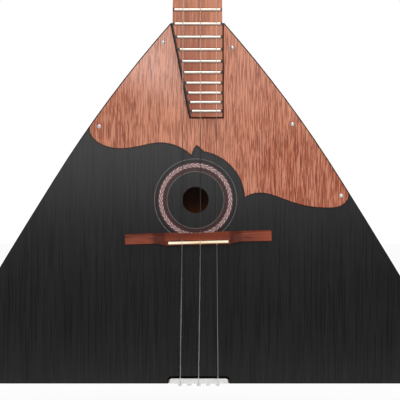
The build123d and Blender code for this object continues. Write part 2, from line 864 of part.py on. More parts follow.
def end_pins():
    """Turned pins through the bottom panel into the tail block."""
    pins = []
    for x in end_pin_places():
        low = -pin_neck_length - pin_head_height
        head = disc(pin_head_radius, low, low + pin_head_height)
        head = fillet(head.edges().filter_by(GeomType.CIRCLE), pin_head_rounding)
        pin = head + disc(pin_neck_radius, low + pin_head_height / 2, pin_depth)
        pins.append(panel_plane * Pos(x, pin_distance, 0) * pin)
    return pins


# ------------------------------------------------------------------ strings
def string_route(index):
    """Corner points of a string: end pin, tail nut, saddle, nut and the side of its winding."""
    radius = string_radii[index]
    tail_x = string_tail_x[index]
    reach = radius + string_seat_gap
    under = Vector(tail_x, string_run.Z * reach, -string_run.Y * reach)
    pin_side = loop_point + under
    tail_low = -tooth_drop - reach * (1 + string_run.Z) / string_run.Y
    tail = Vector(tail_x, -tail_nut_proud - reach, tail_low)
    saddle_x = string_bridge_x[index]
    saddle_z = bridge_z + (saddle_x - bridge_x) * tan(radians(bridge_turn))
    saddle = Vector(saddle_x, -saddle_top_height - reach, saddle_z)
    nut_top = Vector(string_nut_x[index], nut_string_y(radius), nut_z + nut_length)
    post_x, post_up = posts[index]
    side = 1 if post_x > 0 else -1
    across = post_x - side * (winding_radius(index) + winding_clearance + radius)
    end = head_plane.from_local_coords((across, post_up, winding_front + winding_height / 2))
    return [pin_side, tail, saddle, nut_top, end]


def winding_radius(index):
    return post_radius + running_gap + 2 * string_radii[index]


def string(index):
    """Loop round the end pin, then a tight run over the tail nut, the saddle and the nut."""
    radius = string_radii[index]
    points = string_route(index)
    loop_radius = pin_neck_radius + radius + string_seat_gap
    along = (points[1] - points[0]).normalized()
    loop_plane = Plane(
        origin=points[0] - Vector(loop_radius, 0, 0), x_dir=(1, 0, 0), z_dir=Vector(1, 0, 0).cross(along)
    )
    loop = loop_plane * CenterArc((0, 0), loop_radius, -loop_turn, loop_turn)
    bends = [tooth_rounding + radius + string_seat_gap, saddle_bend_radius, nut_bend_radius]
    run = FilletPolyline(*points, radius=bends)
    path = Wire(list(loop.edges()) + list(run.edges()))
    section = Plane(origin=path @ 0, z_dir=path % 0) * Circle(radius)
    tube = sweep(section, path=path)
    expected = pi * radius ** 2 * path.length
    print(f"string_{index + 1}: bend radii {bends}, length {path.length:.1f},",
          f"volume {tube.volume:.2f} of {expected:.2f}")
    return tube


# ------------------------------------------------------------------ tuning machines
def outward(index):
    """1 when a machine's knob is on the right, -1 when it is on the left."""
    return 1 if posts[index][0] > 0 else -1


def on_post(index, solid):
    """Place a solid drawn on a post's own axis, z = 0 being the head's front face."""
    x, up = posts[index]
    return head_plane * Pos(x, up, 0) * solid


plate_back = -head_thickness - base_plate_thickness
worm_level = plate_back - worm_over_plate


def on_worm(index, solid):
    """Place a solid drawn on the worm's axis: local z is outwards to the knob, local x up the head."""
    x, up = posts[index]
    outwards = (outward(index), 0, 0)
    axis = Plane(origin=(x, up - worm_centre_distance, worm_level), x_dir=(0, 1, 0), z_dir=outwards)
    return head_plane * axis * solid


def tuner_plate(index):
    """Base plate with two lugs that carry the worm shaft."""
    width = 2 * base_plate_half_width
    length = base_plate_up + base_plate_down
    middle = (base_plate_up - base_plate_down) / 2
    outline = Pos(0, middle) * RectangleRounded(width, length, base_plate_corner)
    plate = Pos(0, 0, plate_back) * extrude(outline, amount=base_plate_thickness, dir=(0, 0, 1))
    lug_height = worm_over_plate + lug_half_height
    below = (Align.CENTER, Align.CENTER, Align.MAX)
    lug = Box(lug_thickness, 2 * lug_half_height, lug_height, align=below)
    lug = fillet(lug.edges().filter_by(Axis.X).group_by(Axis.Z)[0], lug_rounding)
    for side in (-1, 1):
        x = side * (lug_inner_half_gap + lug_thickness / 2)
        plate += Pos(x, -worm_centre_distance, plate_back) * lug
    plate -= disc(post_radius + running_gap, plate_back - 1, -head_thickness + 1)
    for screw_x, screw_up in plate_screw_places:
        plate -= Pos(screw_x, screw_up, 0) * disc(plate_screw_radius + press_gap, plate_back - 1, 0)
    placed = on_post(index, plate)
    return placed - on_worm(index, disc(journal_radius + running_gap, -big / 4, big / 4))


def slotted_head(radius, low, height, rounding, slot):
    """Screw head whose slotted face lies at height low."""
    head = disc(radius, low, low + height)
    head = fillet(head.edges().filter_by(GeomType.CIRCLE).group_by(Axis.Z)[0], rounding)
    width, depth = slot
    return head - Pos(0, 0, low) * Box(4 * radius, width, 2 * depth)


def tuner_plate_screws():
    low = plate_back - plate_screw_head_height
    screw = slotted_head(
        plate_screw_head_radius, low, plate_screw_head_height, plate_screw_head_rounding, plate_screw_slot
    )
    screw += disc(plate_screw_radius, low + plate_screw_slot[1], plate_screw_depth - head_thickness)
    places = [(x + screw_x, up + screw_up) for x, up in posts for screw_x, screw_up in plate_screw_places]
    return [head_plane * Pos(x, up, 0) * screw for x, up in places]


def post_ferrules():
    ferrules = []
    for index in range(len(posts)):
        flange_low = overlay_thickness
        tube = disc(ferrule_radius, -head_thickness, flange_low)
        tube += disc(ferrule_flange_radius, flange_low, flange_low + ferrule_flange_height)
        tube -= disc(post_radius + running_gap, -head_thickness - 1, flange_low + ferrule_flange_height + 1)
        ferrules.append(on_post(index, tube))
    return ferrules


wheel_low = worm_level - wheel_thickness / 2
wheel_high = worm_level + wheel_thickness / 2


def post(index):
    """String post with a cross hole for the string and a threaded hole for the wheel's screw."""
    rod = disc(post_radius, wheel_low, post_front)
    rod = chamfer(rod.edges().filter_by(GeomType.CIRCLE).group_by(Axis.Z)[-1], post_chamfer)
    rod -= disc(wheel_screw_radius + press_gap, wheel_low - 1, wheel_low + wheel_screw_depth + shaft_play)
    level = winding_front + winding_height + post_eye_over_winding
    rod -= Pos(0, 0, level) * Rot(0, 90, 0) * Cylinder(post_eye_radius, 4 * post_radius)
    return on_post(index, rod)


def wheel_outline():
    """Toothed outline, one tooth pointing at the worm."""
    points = []
    for tooth in range(wheel_teeth):
        middle = -pi / 2 + tooth * 2 * pi / wheel_teeth
        for radius, width, side in (
            (wheel_root_radius, wheel_tooth_root, -1), (wheel_tip_radius, wheel_tooth_tip, -1),
            (wheel_tip_radius, wheel_tooth_tip, 1), (wheel_root_radius, wheel_tooth_root, 1),
        ):
            angle = middle + side * width / 2 / radius
            points.append((radius * cos(angle), radius * sin(angle)))
    return make_face(Polyline(*points, close=True))


def gear_wheel(index):
    wheel = Pos(0, 0, wheel_low) * extrude(wheel_outline(), amount=wheel_thickness, dir=(0, 0, 1))
    wheel += disc(wheel_hub_radius, wheel_low, plate_back - wheel_plate_gap)
    wheel -= disc(post_radius + press_gap, wheel_low - 1, plate_back + 1)
    return on_post(index, wheel)


def gear_screw(index):
    low = wheel_low - wheel_screw_head_height
    screw = slotted_head(
        wheel_screw_head_radius, low, wheel_screw_head_height, wheel_screw_head_rounding, wheel_screw_slot
    )
    screw += disc(wheel_screw_radius, low + wheel_screw_slot[1], wheel_low + wheel_screw_depth)
    return on_post(index, screw)


def winding(index):
    outer = disc(winding_radius(index), winding_front, winding_front + winding_height)
    return on_post(index, outer - disc(post_radius + press_gap, winding_front - 1, post_front))


def worm_thread():
    """Right-handed thread whose turns leave a gap opposite the wheel's middle tooth."""
    height = worm_thread_turns * worm_pitch
    sunk = worm_core_radius - worm_thread_sunk
    helix = Helix(pitch=worm_pitch, height=height, radius=sunk)
    face = make_face(Polyline(
        (sunk, -worm_thread_root / 2), (worm_thread_radius, -worm_thread_tip / 2),
        (worm_thread_radius, worm_thread_tip / 2), (sunk, worm_thread_root / 2), close=True,
    ))
    return Pos(0, 0, -height / 2) * sweep(Plane.XZ * face, path=helix, is_frenet=True)


def worm_shaft(index):
    """Shaft with its worm, two journals, a collar outside the outer lug and an end that holds the knob."""
    core_half = lug_inner_half_gap - shaft_play
    shaft = disc(worm_core_radius, -core_half, core_half) + worm_thread()
    inner_end = -lug_inner_half_gap - lug_thickness - shaft_tail
    shaft += disc(journal_radius, inner_end, knob_start + knob_socket)
    collar_start = lug_inner_half_gap + lug_thickness + shaft_play
    shaft += disc(collar_radius, collar_start, collar_start + collar_length)
    return on_worm(index, shaft)


def knob(index):
    """Flat rounded knob on a short neck."""
    grip_middle = knob_start + knob_neck_length + knob_length / 2
    grip = Pos(0, 0, grip_middle) * Box(knob_width, knob_thickness, knob_length)
    grip = fillet(grip.edges(), knob_rounding)
    whole = grip + disc(knob_neck_radius, knob_start, knob_start + 2 * knob_neck_length)
    whole -= disc(journal_radius + press_gap, knob_start - 1, knob_start + knob_socket + shaft_play)
    return on_worm(index, whole)


# ------------------------------------------------------------------ assembly
def make_nodes():
    inside = inner_volume()
    nodes = {
        "soundboard": soundboard(),
        "soundhole_patch": soundhole_patch(),
        "rosette_band": rosette_band(),
        "rosette_lines": rosette_lines(),
        "scratch_plate": scratch_plate(),
        "scratch_plate_pins": scratch_plate_pins(),
        "bottom_panel": bottom_panel(),
        "neck_block": neck_block(inside),
        "tail_block": tail_block(inside),
        "corner_block_left": corner_block(inside, -1),
        "corner_block_right": corner_block(inside, 1),
        "lining_left": lining_side(-1),
        "lining_right": lining_side(1),
        "lining_bottom": lining_bottom(),
        "neck": neck(),
        "neck_rod": neck_rod(),
        "fingerboard": fingerboard(),
        "frets": frets(),
        "position_dots": position_dots(),
        "nut": nut(),
        "head_overlay": head_overlay(),
        "bridge": bridge(),
        "bridge_saddle": bridge_saddle(),
        "tail_nut": tail_nut(),
        "end_pins": end_pins(),
        "tuner_plate_screws": tuner_plate_screws(),
        "post_ferrules": post_ferrules(),
    }
    nodes.update(staves())
    for name, z in brace_heights.items():
        nodes[name] = brace(z)
    makers = {
        "string": string, "winding": winding, "tuner_plate": tuner_plate, "post": post,
        "gear_wheel": gear_wheel, "gear_screw": gear_screw, "worm_shaft": worm_shaft, "knob": knob,
    }
    for index in range(len(posts)):
        for name, maker in makers.items():
            nodes[f"{name}_{index + 1}"] = maker(index)
    return nodes


def export_nodes():
    os.makedirs("parts", exist_ok=True)
    to_hanger = Pos(*[-value for value in hanger_point])
    for name, shape in make_nodes().items():
        pieces = shape if isinstance(shape, list) else [shape]
        placed = [to_hanger * solid for piece in pieces for solid in piece.solids()]
        export_step(placed[0] if len(placed) == 1 else Compound(children=placed), f"parts/{name}.step")


export_nodes()
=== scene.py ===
"""Looks of a three-string balalaika: finishes, fine pieces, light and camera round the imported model."""
import json
import logging
import math
from dataclasses import dataclass, field
from enum import Enum
from typing import Dict, Iterable, Sequence, Set, Tuple, Union

import bmesh
import bpy
from mathutils import Matrix, Vector


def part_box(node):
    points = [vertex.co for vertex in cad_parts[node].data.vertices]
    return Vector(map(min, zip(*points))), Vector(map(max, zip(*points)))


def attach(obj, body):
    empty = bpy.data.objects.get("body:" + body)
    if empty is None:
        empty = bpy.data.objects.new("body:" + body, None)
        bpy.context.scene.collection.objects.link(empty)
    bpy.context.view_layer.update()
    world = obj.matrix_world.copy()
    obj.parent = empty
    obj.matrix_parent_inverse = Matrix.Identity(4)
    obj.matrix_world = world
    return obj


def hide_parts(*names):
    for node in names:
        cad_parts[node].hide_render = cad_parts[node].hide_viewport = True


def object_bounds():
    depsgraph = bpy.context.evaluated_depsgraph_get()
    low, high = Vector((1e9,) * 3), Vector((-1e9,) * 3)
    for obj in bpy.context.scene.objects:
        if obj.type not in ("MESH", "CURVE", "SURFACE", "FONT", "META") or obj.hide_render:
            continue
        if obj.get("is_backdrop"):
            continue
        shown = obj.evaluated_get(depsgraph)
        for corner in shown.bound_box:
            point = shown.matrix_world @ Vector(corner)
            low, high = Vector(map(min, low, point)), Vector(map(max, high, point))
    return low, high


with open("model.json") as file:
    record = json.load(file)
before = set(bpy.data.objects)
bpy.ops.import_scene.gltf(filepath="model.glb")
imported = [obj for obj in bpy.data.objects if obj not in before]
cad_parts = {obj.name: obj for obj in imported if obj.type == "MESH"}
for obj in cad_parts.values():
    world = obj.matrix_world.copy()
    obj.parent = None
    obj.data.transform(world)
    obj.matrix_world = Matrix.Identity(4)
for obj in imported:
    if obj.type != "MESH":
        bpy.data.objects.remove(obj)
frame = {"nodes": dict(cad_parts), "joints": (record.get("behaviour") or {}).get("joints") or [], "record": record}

log = logging.getLogger("balalaika")

MM = 0.001
ALONG = 0.035  # Scale of a wood's pattern along its grain.
SOFT = (0.3, 0.7)  # Limits that spread a noise smoothly from 0 to 1.
CLEAR = (0.35, 0.65)  # Limits that part its two ends a little more.
Colour = Tuple[float, float, float]
Limits = Tuple[float, float]
Scale = Tuple[float, float, float]
Socket = bpy.types.NodeSocket
Value = Union[Socket, float, Colour]
Data = Union[bpy.types.Mesh, bpy.types.Light, bpy.types.Camera]
INLAY_GLOSS = {"Coat_Weight": 0.35, "Coat_Roughness": 0.2}


class Body(str, Enum):
    """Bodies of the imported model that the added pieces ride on."""

    INSTRUMENT = "instrument"
    PEG_1 = "peg_1"
    PEG_2 = "peg_2"
    PEG_3 = "peg_3"


class Grain(Enum):
    """Direction that the grain of a wooden piece runs in, as a scale of the pattern along each axis."""

    UP = (1.0, 1.0, ALONG)
    ACROSS = (ALONG, 1.0, 1.0)


def srgb(red: float, green: float, blue: float) -> Colour:
    """Linear colour from 0 to 255 display values, by the standard display curve.

    Args:
        red: Red display value.
        green: Green display value.
        blue: Blue display value.

    Returns:
        The linear colour.
    """
    def linear(value: float) -> float:
        """Linear share of one display value."""
        share = value / 255
        return share / 12.92 if share <= 0.04045 else ((share + 0.055) / 1.055) ** 2.4
    return linear(red), linear(green), linear(blue)


def shade(colour: Colour, share: float) -> Colour:
    """Colour with only a share of its light."""
    return tuple(part * share for part in colour)


def put_in_scene(name: str, data: Data) -> bpy.types.Object:
    """Make an object from its data and link it to the scene.

    Args:
        name: Name of the object.
        data: Its mesh, lamp or camera.

    Returns:
        The object.
    """
    made = bpy.data.objects.new(name, data)
    bpy.context.scene.collection.objects.link(made)
    return made


class Graph:
    """Small builder for the node tree of one material or of the room."""

    def __init__(self, owner: Union[bpy.types.Material, bpy.types.World]) -> None:
        """Start with an empty node tree.

        Args:
            owner: Material or world that the nodes are for.
        """
        owner.use_nodes = True
        self.owner = owner
        self.tree = owner.node_tree
        self.tree.nodes.clear()
        self.coordinates = self.tree.nodes.new("ShaderNodeTexCoord").outputs["Object"]

    @classmethod
    def material(cls, name: str) -> "Graph":
        """Graph of a new material."""
        return cls(bpy.data.materials.new(name))

    def set(self, socket: Socket, value: Value) -> None:
        """Link a socket, or give an unlinked one its value.

        Args:
            socket: Input socket to fill.
            value: Output socket, number or colour.
        """
        if isinstance(value, bpy.types.NodeSocket):
            self.tree.links.new(value, socket)
        elif socket.type == "RGBA":
            socket.default_value = (*value, 1.0)
        else:
            socket.default_value = value

    def place(self, scale: Sequence[float] = (1, 1, 1), shift: Sequence[float] = (0, 0, 0),
              turn: Sequence[float] = (0, 0, 0)) -> Socket:
        """Object coordinates, moved, turned and scaled.

        Args:
            scale: Scale of the pattern along each axis.
            shift: Offset in metres, taken away before the turn.
            turn: Rotation in radians.

        Returns:
            The mapped coordinates.
        """
        moved = self.tree.nodes.new("ShaderNodeMapping")
        self.tree.links.new(self.coordinates, moved.inputs["Vector"])
        moved.inputs["Location"].default_value = [-value for value in shift]
        turned = self.tree.nodes.new("ShaderNodeMapping")
        self.tree.links.new(moved.outputs["Vector"], turned.inputs["Vector"])
        turned.inputs["Rotation"].default_value = turn
        turned.inputs["Scale"].default_value = scale
        return turned.outputs["Vector"]

    def noise(self, vector: Socket, scale: float, detail: float = 3.0, roughness: float = 0.55,
              distortion: float = 0.0) -> Socket:
        """Value of a noise texture.

        Args:
            vector: Coordinates to read.
            scale: Repeats per metre.
            detail: Octaves.
            roughness: Weight of the finer octaves.
            distortion: Warp of the coordinates.

        Returns:
            The noise from 0 to 1.
        """
        node = self.tree.nodes.new("ShaderNodeTexNoise")
        self.tree.links.new(vector, node.inputs["Vector"])
        node.inputs["Scale"].default_value = scale
        node.inputs["Detail"].default_value = detail
        node.inputs["Roughness"].default_value = roughness
        node.inputs["Distortion"].default_value = distortion
        return node.outputs["Fac"]

    def chance(self, number: Socket) -> Socket:
        """Random value from 0 to 1 that stays the same for the same number.

        Args:
            number: Number to read.

        Returns:
            The random value.
        """
        node = self.tree.nodes.new("ShaderNodeTexWhiteNoise")
        node.noise_dimensions = "1D"
        self.tree.links.new(number, node.inputs["W"])
        return node.outputs["Value"]

    def offsets(self, centre: Tuple[float, float]) -> Tuple[Socket, Socket]:
        """Offsets from a centre in the soundboard's plane.

        Args:
            centre: Centre in x and z, in metres.

        Returns:
            The offsets in x and z.
        """
        x, _, z = self.axes(self.place(shift=(centre[0], 0, centre[1])))
        return x, z

    def radius(self, centre: Tuple[float, float]) -> Socket:
        """Distance from a centre in the soundboard's plane.

        Args:
            centre: Centre in x and z, in metres.

        Returns:
            The distance.
        """
        x, z = self.offsets(centre)
        return self.math("SQRT", self.math("ADD", self.times(x, x), self.times(z, z)))

    def band(self, value: Socket, low: float, high: float, blur: float) -> Socket:
        """1 while a value lies between two limits and 0 outside them.

        Args:
            value: Value to read.
            low: Lower limit.
            high: Upper limit.
            blur: Width of the soft edges.

        Returns:
            The share from 0 to 1.
        """
        rise = self.span(value, low - blur / 2, low + blur / 2)
        fall = self.span(value, high - blur / 2, high + blur / 2, 1.0, 0.0)
        return self.times(rise, fall)

    def span(self, value: Socket, low: float, high: float, to_low: float = 0.0,
             to_high: float = 1.0) -> Socket:
        """Smooth step of a value between two limits.

        Args:
            value: Value to read.
            low: Value that gives to_low.
            high: Value that gives to_high.
            to_low: Result at low.
            to_high: Result at high.

        Returns:
            The stepped value.
        """
        node = self.tree.nodes.new("ShaderNodeMapRange")
        node.interpolation_type = "SMOOTHSTEP"
        for name, part in zip(("Value", "From Min", "From Max", "To Min", "To Max"),
                              (value, low, high, to_low, to_high)):
            self.set(node.inputs[name], part)
        return node.outputs["Result"]

    def math(self, operation: str, first: Value, second: Value = 0.0) -> Socket:
        """Arithmetic on one or two values.

        Args:
            operation: Blender's name of the operation.
            first: First value.
            second: Second value.

        Returns:
            The result.
        """
        node = self.tree.nodes.new("ShaderNodeMath")
        node.operation = operation
        self.set(node.inputs[0], first)
        self.set(node.inputs[1], second)
        return node.outputs["Value"]

    def times(self, first: Value, *others: Value) -> Socket:
        """Product of several values.

        Args:
            first: First value.
            others: Values that it is multiplied by, one after the other.

        Returns:
            The product.
        """
        for other in others:
            first = self.math("MULTIPLY", first, other)
        return first

    def axes(self, vector: Socket) -> Tuple[Socket, Socket, Socket]:
        """Split coordinates into x, y and z.

        Args:
            vector: Coordinates to split.

        Returns:
            The three parts.
        """
        node = self.tree.nodes.new("ShaderNodeSeparateXYZ")
        self.tree.links.new(vector, node.inputs["Vector"])
        return node.outputs["X"], node.outputs["Y"], node.outputs["Z"]

    def mix(self, share: Value, first: Value, second: Value) -> Socket:
        """Mix two colours.

        Args:
            share: Weight of the second colour.
            first: First colour.
            second: Second colour.

        Returns:
            The mixed colour.
        """
        node = self.tree.nodes.new("ShaderNodeMix")
        node.data_type = "RGBA"
        node.clamp_factor = True
        self.set(node.inputs["Factor"], share)
        ends = {end.name: end for end in node.inputs if end.type == "RGBA"}
        self.set(ends["A"], first)
        self.set(ends["B"], second)
        return next(end for end in node.outputs if end.type == "RGBA")

    def cover(self, tone: Value, colour: Value, value: Socket, low: float, high: float,
              weight: float = 1.0) -> Socket:
        """Lay a colour over a tone where a value is past its limits.

        Args:
            tone: Colour below.
            colour: Colour that is laid over it.
            value: Value that tells where.
            low: Value where the colour begins.
            high: Value where it is full.
            weight: Weight of the full colour.

        Returns:
            The covered colour.
        """
        return self.mix(self.span(value, low, high, 0.0, weight), tone, colour)

    def bump(self, height: Socket, depth: float) -> Socket:
        """Bumped normal.

        Args:
            height: Height from 0 to 1.
            depth: Height in metres of a full step.

        Returns:
            The normal.
        """
        node = self.tree.nodes.new("ShaderNodeBump")
        node.inputs["Strength"].default_value = 1.0
        node.inputs["Distance"].default_value = depth
        self.tree.links.new(height, node.inputs["Height"])
        return node.outputs["Normal"]

    def finish(self, **values: Value) -> bpy.types.Material:
        """Close the material with a principled shader.

        Args:
            values: Socket names, with underscores for spaces, and their values.

        Returns:
            The finished material.
        """
        shader = self.tree.nodes.new("ShaderNodeBsdfPrincipled")
        for name, value in values.items():
            self.set(shader.inputs[name.replace("_", " ")], value)
        output = self.tree.nodes.new("ShaderNodeOutputMaterial")
        self.tree.links.new(shader.outputs["BSDF"], output.inputs["Surface"])
        return self.owner


@dataclass(frozen=True)
class Timber:
    """Varnished or oiled wood: broad bands, fine fibre, short dark pores and a little figure.

    Attributes:
        name: Material name.
        light: Colour of the pale bands.
        dark: Colour of the dark bands.
        pore: Colour of the pores.
        grain: Direction of the grain.
        band: Bands per metre across the grain.
        fibre: Fibres per metre across the grain.
        pores: Pores per metre across the grain, 0 for none.
        figure: Weight of the cross figure.
        contrast: How sharply pale and dark bands part, from 0 to 1.
        roughness: Roughness of the surface.
        coat: Weight of the varnish.
        coat_roughness: Roughness of the varnish.
        level: Specular level of the surface.
        relief: Depth of the grain in metres.
        fibre_weight: Weight of the dark fibres in the colour.
        clouds: Pale clouds for each band.
        cloud_weight: Weight of the clouds in the colour.
        pore_weight: Weight of the pores in the colour.
        pore_short: How much shorter than a fibre a pore is.
        wave_along, wave_across: Scale of the figure along and across the grain.
        waves: Waves of the figure for each band.
        rubs: Rubbed patches per metre.
        wear: Least and most roughness, as shares of the roughness.
    """

    name: str
    light: Colour
    dark: Colour
    pore: Colour
    grain: Grain = Grain.UP
    band: float = 120.0
    fibre: float = 900.0
    pores: float = 700.0
    figure: float = 0.0
    contrast: float = 0.5
    roughness: float = 0.42
    coat: float = 0.3
    coat_roughness: float = 0.2
    level: float = 0.5
    relief: float = 0.06 * MM
    fibre_weight: float = 0.4
    clouds: float = 0.12
    cloud_weight: float = 0.35
    pore_weight: float = 0.75
    pore_short: float = 1.6
    wave_along: float = 4.5
    wave_across: float = 0.35
    waves: float = 0.35
    rubs: float = 45.0
    wear: Limits = (0.82, 1.2)

    def colour(self, graph: Graph) -> Tuple[Socket, Socket]:
        """Colour and height of the grain.

        Args:
            graph: Graph that is being built.

        Returns:
            The colour and the height.
        """
        along = graph.place(self.grain.value)
        edge = 0.5 - 0.42 * self.contrast  # Full contrast parts the bands near the noise's middle.
        bands = graph.span(graph.noise(along, self.band, 4, 0.6, 0.6), edge, 1 - edge)
        fibres = graph.noise(along, self.fibre, 5, 0.7)
        clouds = graph.noise(graph.place(), self.band * self.clouds, 2)
        tone = graph.mix(bands, self.dark, self.light)
        tone = graph.cover(tone, self.dark, fibres, *CLEAR, self.fibre_weight)
        tone = graph.cover(tone, self.light, clouds, 0.35, 0.7, self.cloud_weight)
        height = fibres
        if self.figure > 0:
            squeeze = [self.wave_along if part < 1 else self.wave_across for part in self.grain.value]
            waves = graph.noise(graph.place(squeeze), self.band * self.waves, 2, 0.5, 0.8)
            tone = graph.cover(tone, self.dark, waves, 0.4, 0.62, self.figure)
        if self.pores > 0:
            stretch = [self.pore_short * part if part < 1 else part for part in self.grain.value]
            spots = graph.span(graph.noise(graph.place(stretch), self.pores, 2, 0.5), 0.62, 0.70)
            tone = graph.mix(graph.times(spots, self.pore_weight), tone, self.pore)
            height = graph.math("SUBTRACT", fibres, spots)
        return tone, height

    def build(self) -> bpy.types.Material:
        """Make the material.

        Returns:
            The finished material.
        """
        graph = Graph.material(self.name)
        tone, height = self.colour(graph)
        least, most = self.wear
        worn = graph.noise(graph.place(), self.rubs, 4, 0.6)
        rough = graph.span(worn, *SOFT, self.roughness * least, self.roughness * most)
        return graph.finish(
            Base_Color=tone, Roughness=rough, Normal=graph.bump(height, self.relief),
            Coat_Weight=self.coat, Coat_Roughness=self.coat_roughness, Specular_IOR_Level=self.level,
        )


@dataclass(frozen=True)
class StainedTop(Timber):
    """Black-stained soundboard, red-brown under the rosette.

    Attributes:
        centre: Centre of the rosette in x and z, in metres.
        stain: Colour of the red-brown ring.
        ring: Inner and outer radius of that ring, in metres.
        blur: Width of its soft edges in metres.
        line: Dark lines per metre across the grain.
        line_weight: Weight of these lines in the colour.
    """

    centre: Tuple[float, float] = (0.0, 0.0)
    stain: Colour = (0.1, 0.03, 0.03)
    ring: Limits = (0.0, 0.0)
    blur: float = 0.3 * MM
    line: float = 900.0
    line_weight: float = 0.75

    def colour(self, graph: Graph) -> Tuple[Socket, Socket]:
        """Black grain with the ring.

        Args:
            graph: Graph that is being built.

        Returns:
            The colour and the height.
        """
        tone, height = super().colour(graph)
        lines = graph.noise(graph.place((1, 1, 0.02)), self.line, 2, 0.6)
        tone = graph.cover(tone, self.pore, lines, 0.5, 0.6, self.line_weight)
        ring = graph.band(graph.radius(self.centre), *self.ring, self.blur)
        return graph.mix(ring, tone, self.stain), height


@dataclass(frozen=True)
class RibbonVeneer(Timber):
    """Ribbon-grained veneer full of short upright streaks, paler towards its upper left by a painted sheen.

    Attributes:
        middle: Reference point in x and z, in metres.
        pale: Colour of the painted sheen at the upper left.
        amber: Colour of the left end.
        russet: Colour of the lower right.
        streak: Colour of the pale streaks.
        painted_sheen_x, painted_sheen_z: Where the painted sheen begins and is full, in metres from the middle.
        amber_x, amber_z: The same for the amber tone.
        russet_x, russet_z: The same for the russet tone.
        patches: Patches per metre across the grain in which the tones are weaker.
        broad, fine: Broad and fine streaks per metre across the grain.
        broad_weight, fine_weight: Weight of the dark ones of each kind, and of the pale ones.
    """

    middle: Tuple[float, float] = (0.0, 0.0)
    pale: Colour = (0.6, 0.4, 0.3)
    amber: Colour = (0.5, 0.2, 0.1)
    russet: Colour = (0.4, 0.15, 0.08)
    streak: Colour = (0.7, 0.4, 0.3)
    painted_sheen_x: Limits = (22 * MM, -34 * MM)
    painted_sheen_z: Limits = (0.0, 40 * MM)
    amber_x: Limits = (-25 * MM, -60 * MM)
    amber_z: Limits = (40 * MM, 10 * MM)
    russet_x: Limits = (10 * MM, 60 * MM)
    russet_z: Limits = (30 * MM, -32 * MM)
    patches: float = 30.0
    broad: float = 1350.0
    fine: float = 2200.0
    broad_weight: Tuple[float, float] = (0.52, 0.6)
    fine_weight: Tuple[float, float] = (0.6, 0.6)

    def colour(self, graph: Graph) -> Tuple[Socket, Socket]:
        """Streaked colour and height of the grain.

        Args:
            graph: Graph that is being built.

        Returns:
            The colour and the height.
        """
        tone, height = super().colour(graph)
        x, z = graph.offsets(self.middle)
        patches = graph.span(graph.noise(graph.place((1, 1, 0.3)), self.patches, 3), *SOFT, 0.7, 1.0)
        # Painted sheen: the pale colour laid over the upper left.
        sheen = graph.times(graph.span(x, *self.painted_sheen_x, 0.1, 0.8), graph.span(z, *self.painted_sheen_z), patches)
        tone = graph.mix(sheen, tone, self.pale)
        warm = graph.times(graph.span(x, *self.amber_x), patches, graph.span(z, *self.amber_z))
        tone = graph.mix(warm, tone, self.amber)
        deep = graph.times(graph.span(x, *self.russet_x, 0.0, 0.95), graph.span(z, *self.russet_z))
        tone = graph.mix(deep, tone, self.russet)
        broad = graph.noise(graph.place((1, 1, 0.06)), self.broad, 3, 0.6)
        fine = graph.noise(graph.place((1, 1, ALONG)), self.fine, 3, 0.6)
        dark = graph.math(
            "MAXIMUM", graph.span(broad, 0.52, 0.62, 0.0, self.broad_weight[0]),
            graph.span(fine, 0.5, 0.62, 0.0, self.fine_weight[0]))
        pale = graph.math(
            "MAXIMUM", graph.span(broad, 0.5, 0.4, 0.0, self.broad_weight[1]),
            graph.span(fine, 0.48, 0.38, 0.0, self.fine_weight[1]))
        return graph.mix(pale, graph.mix(dark, tone, self.pore), self.streak), height


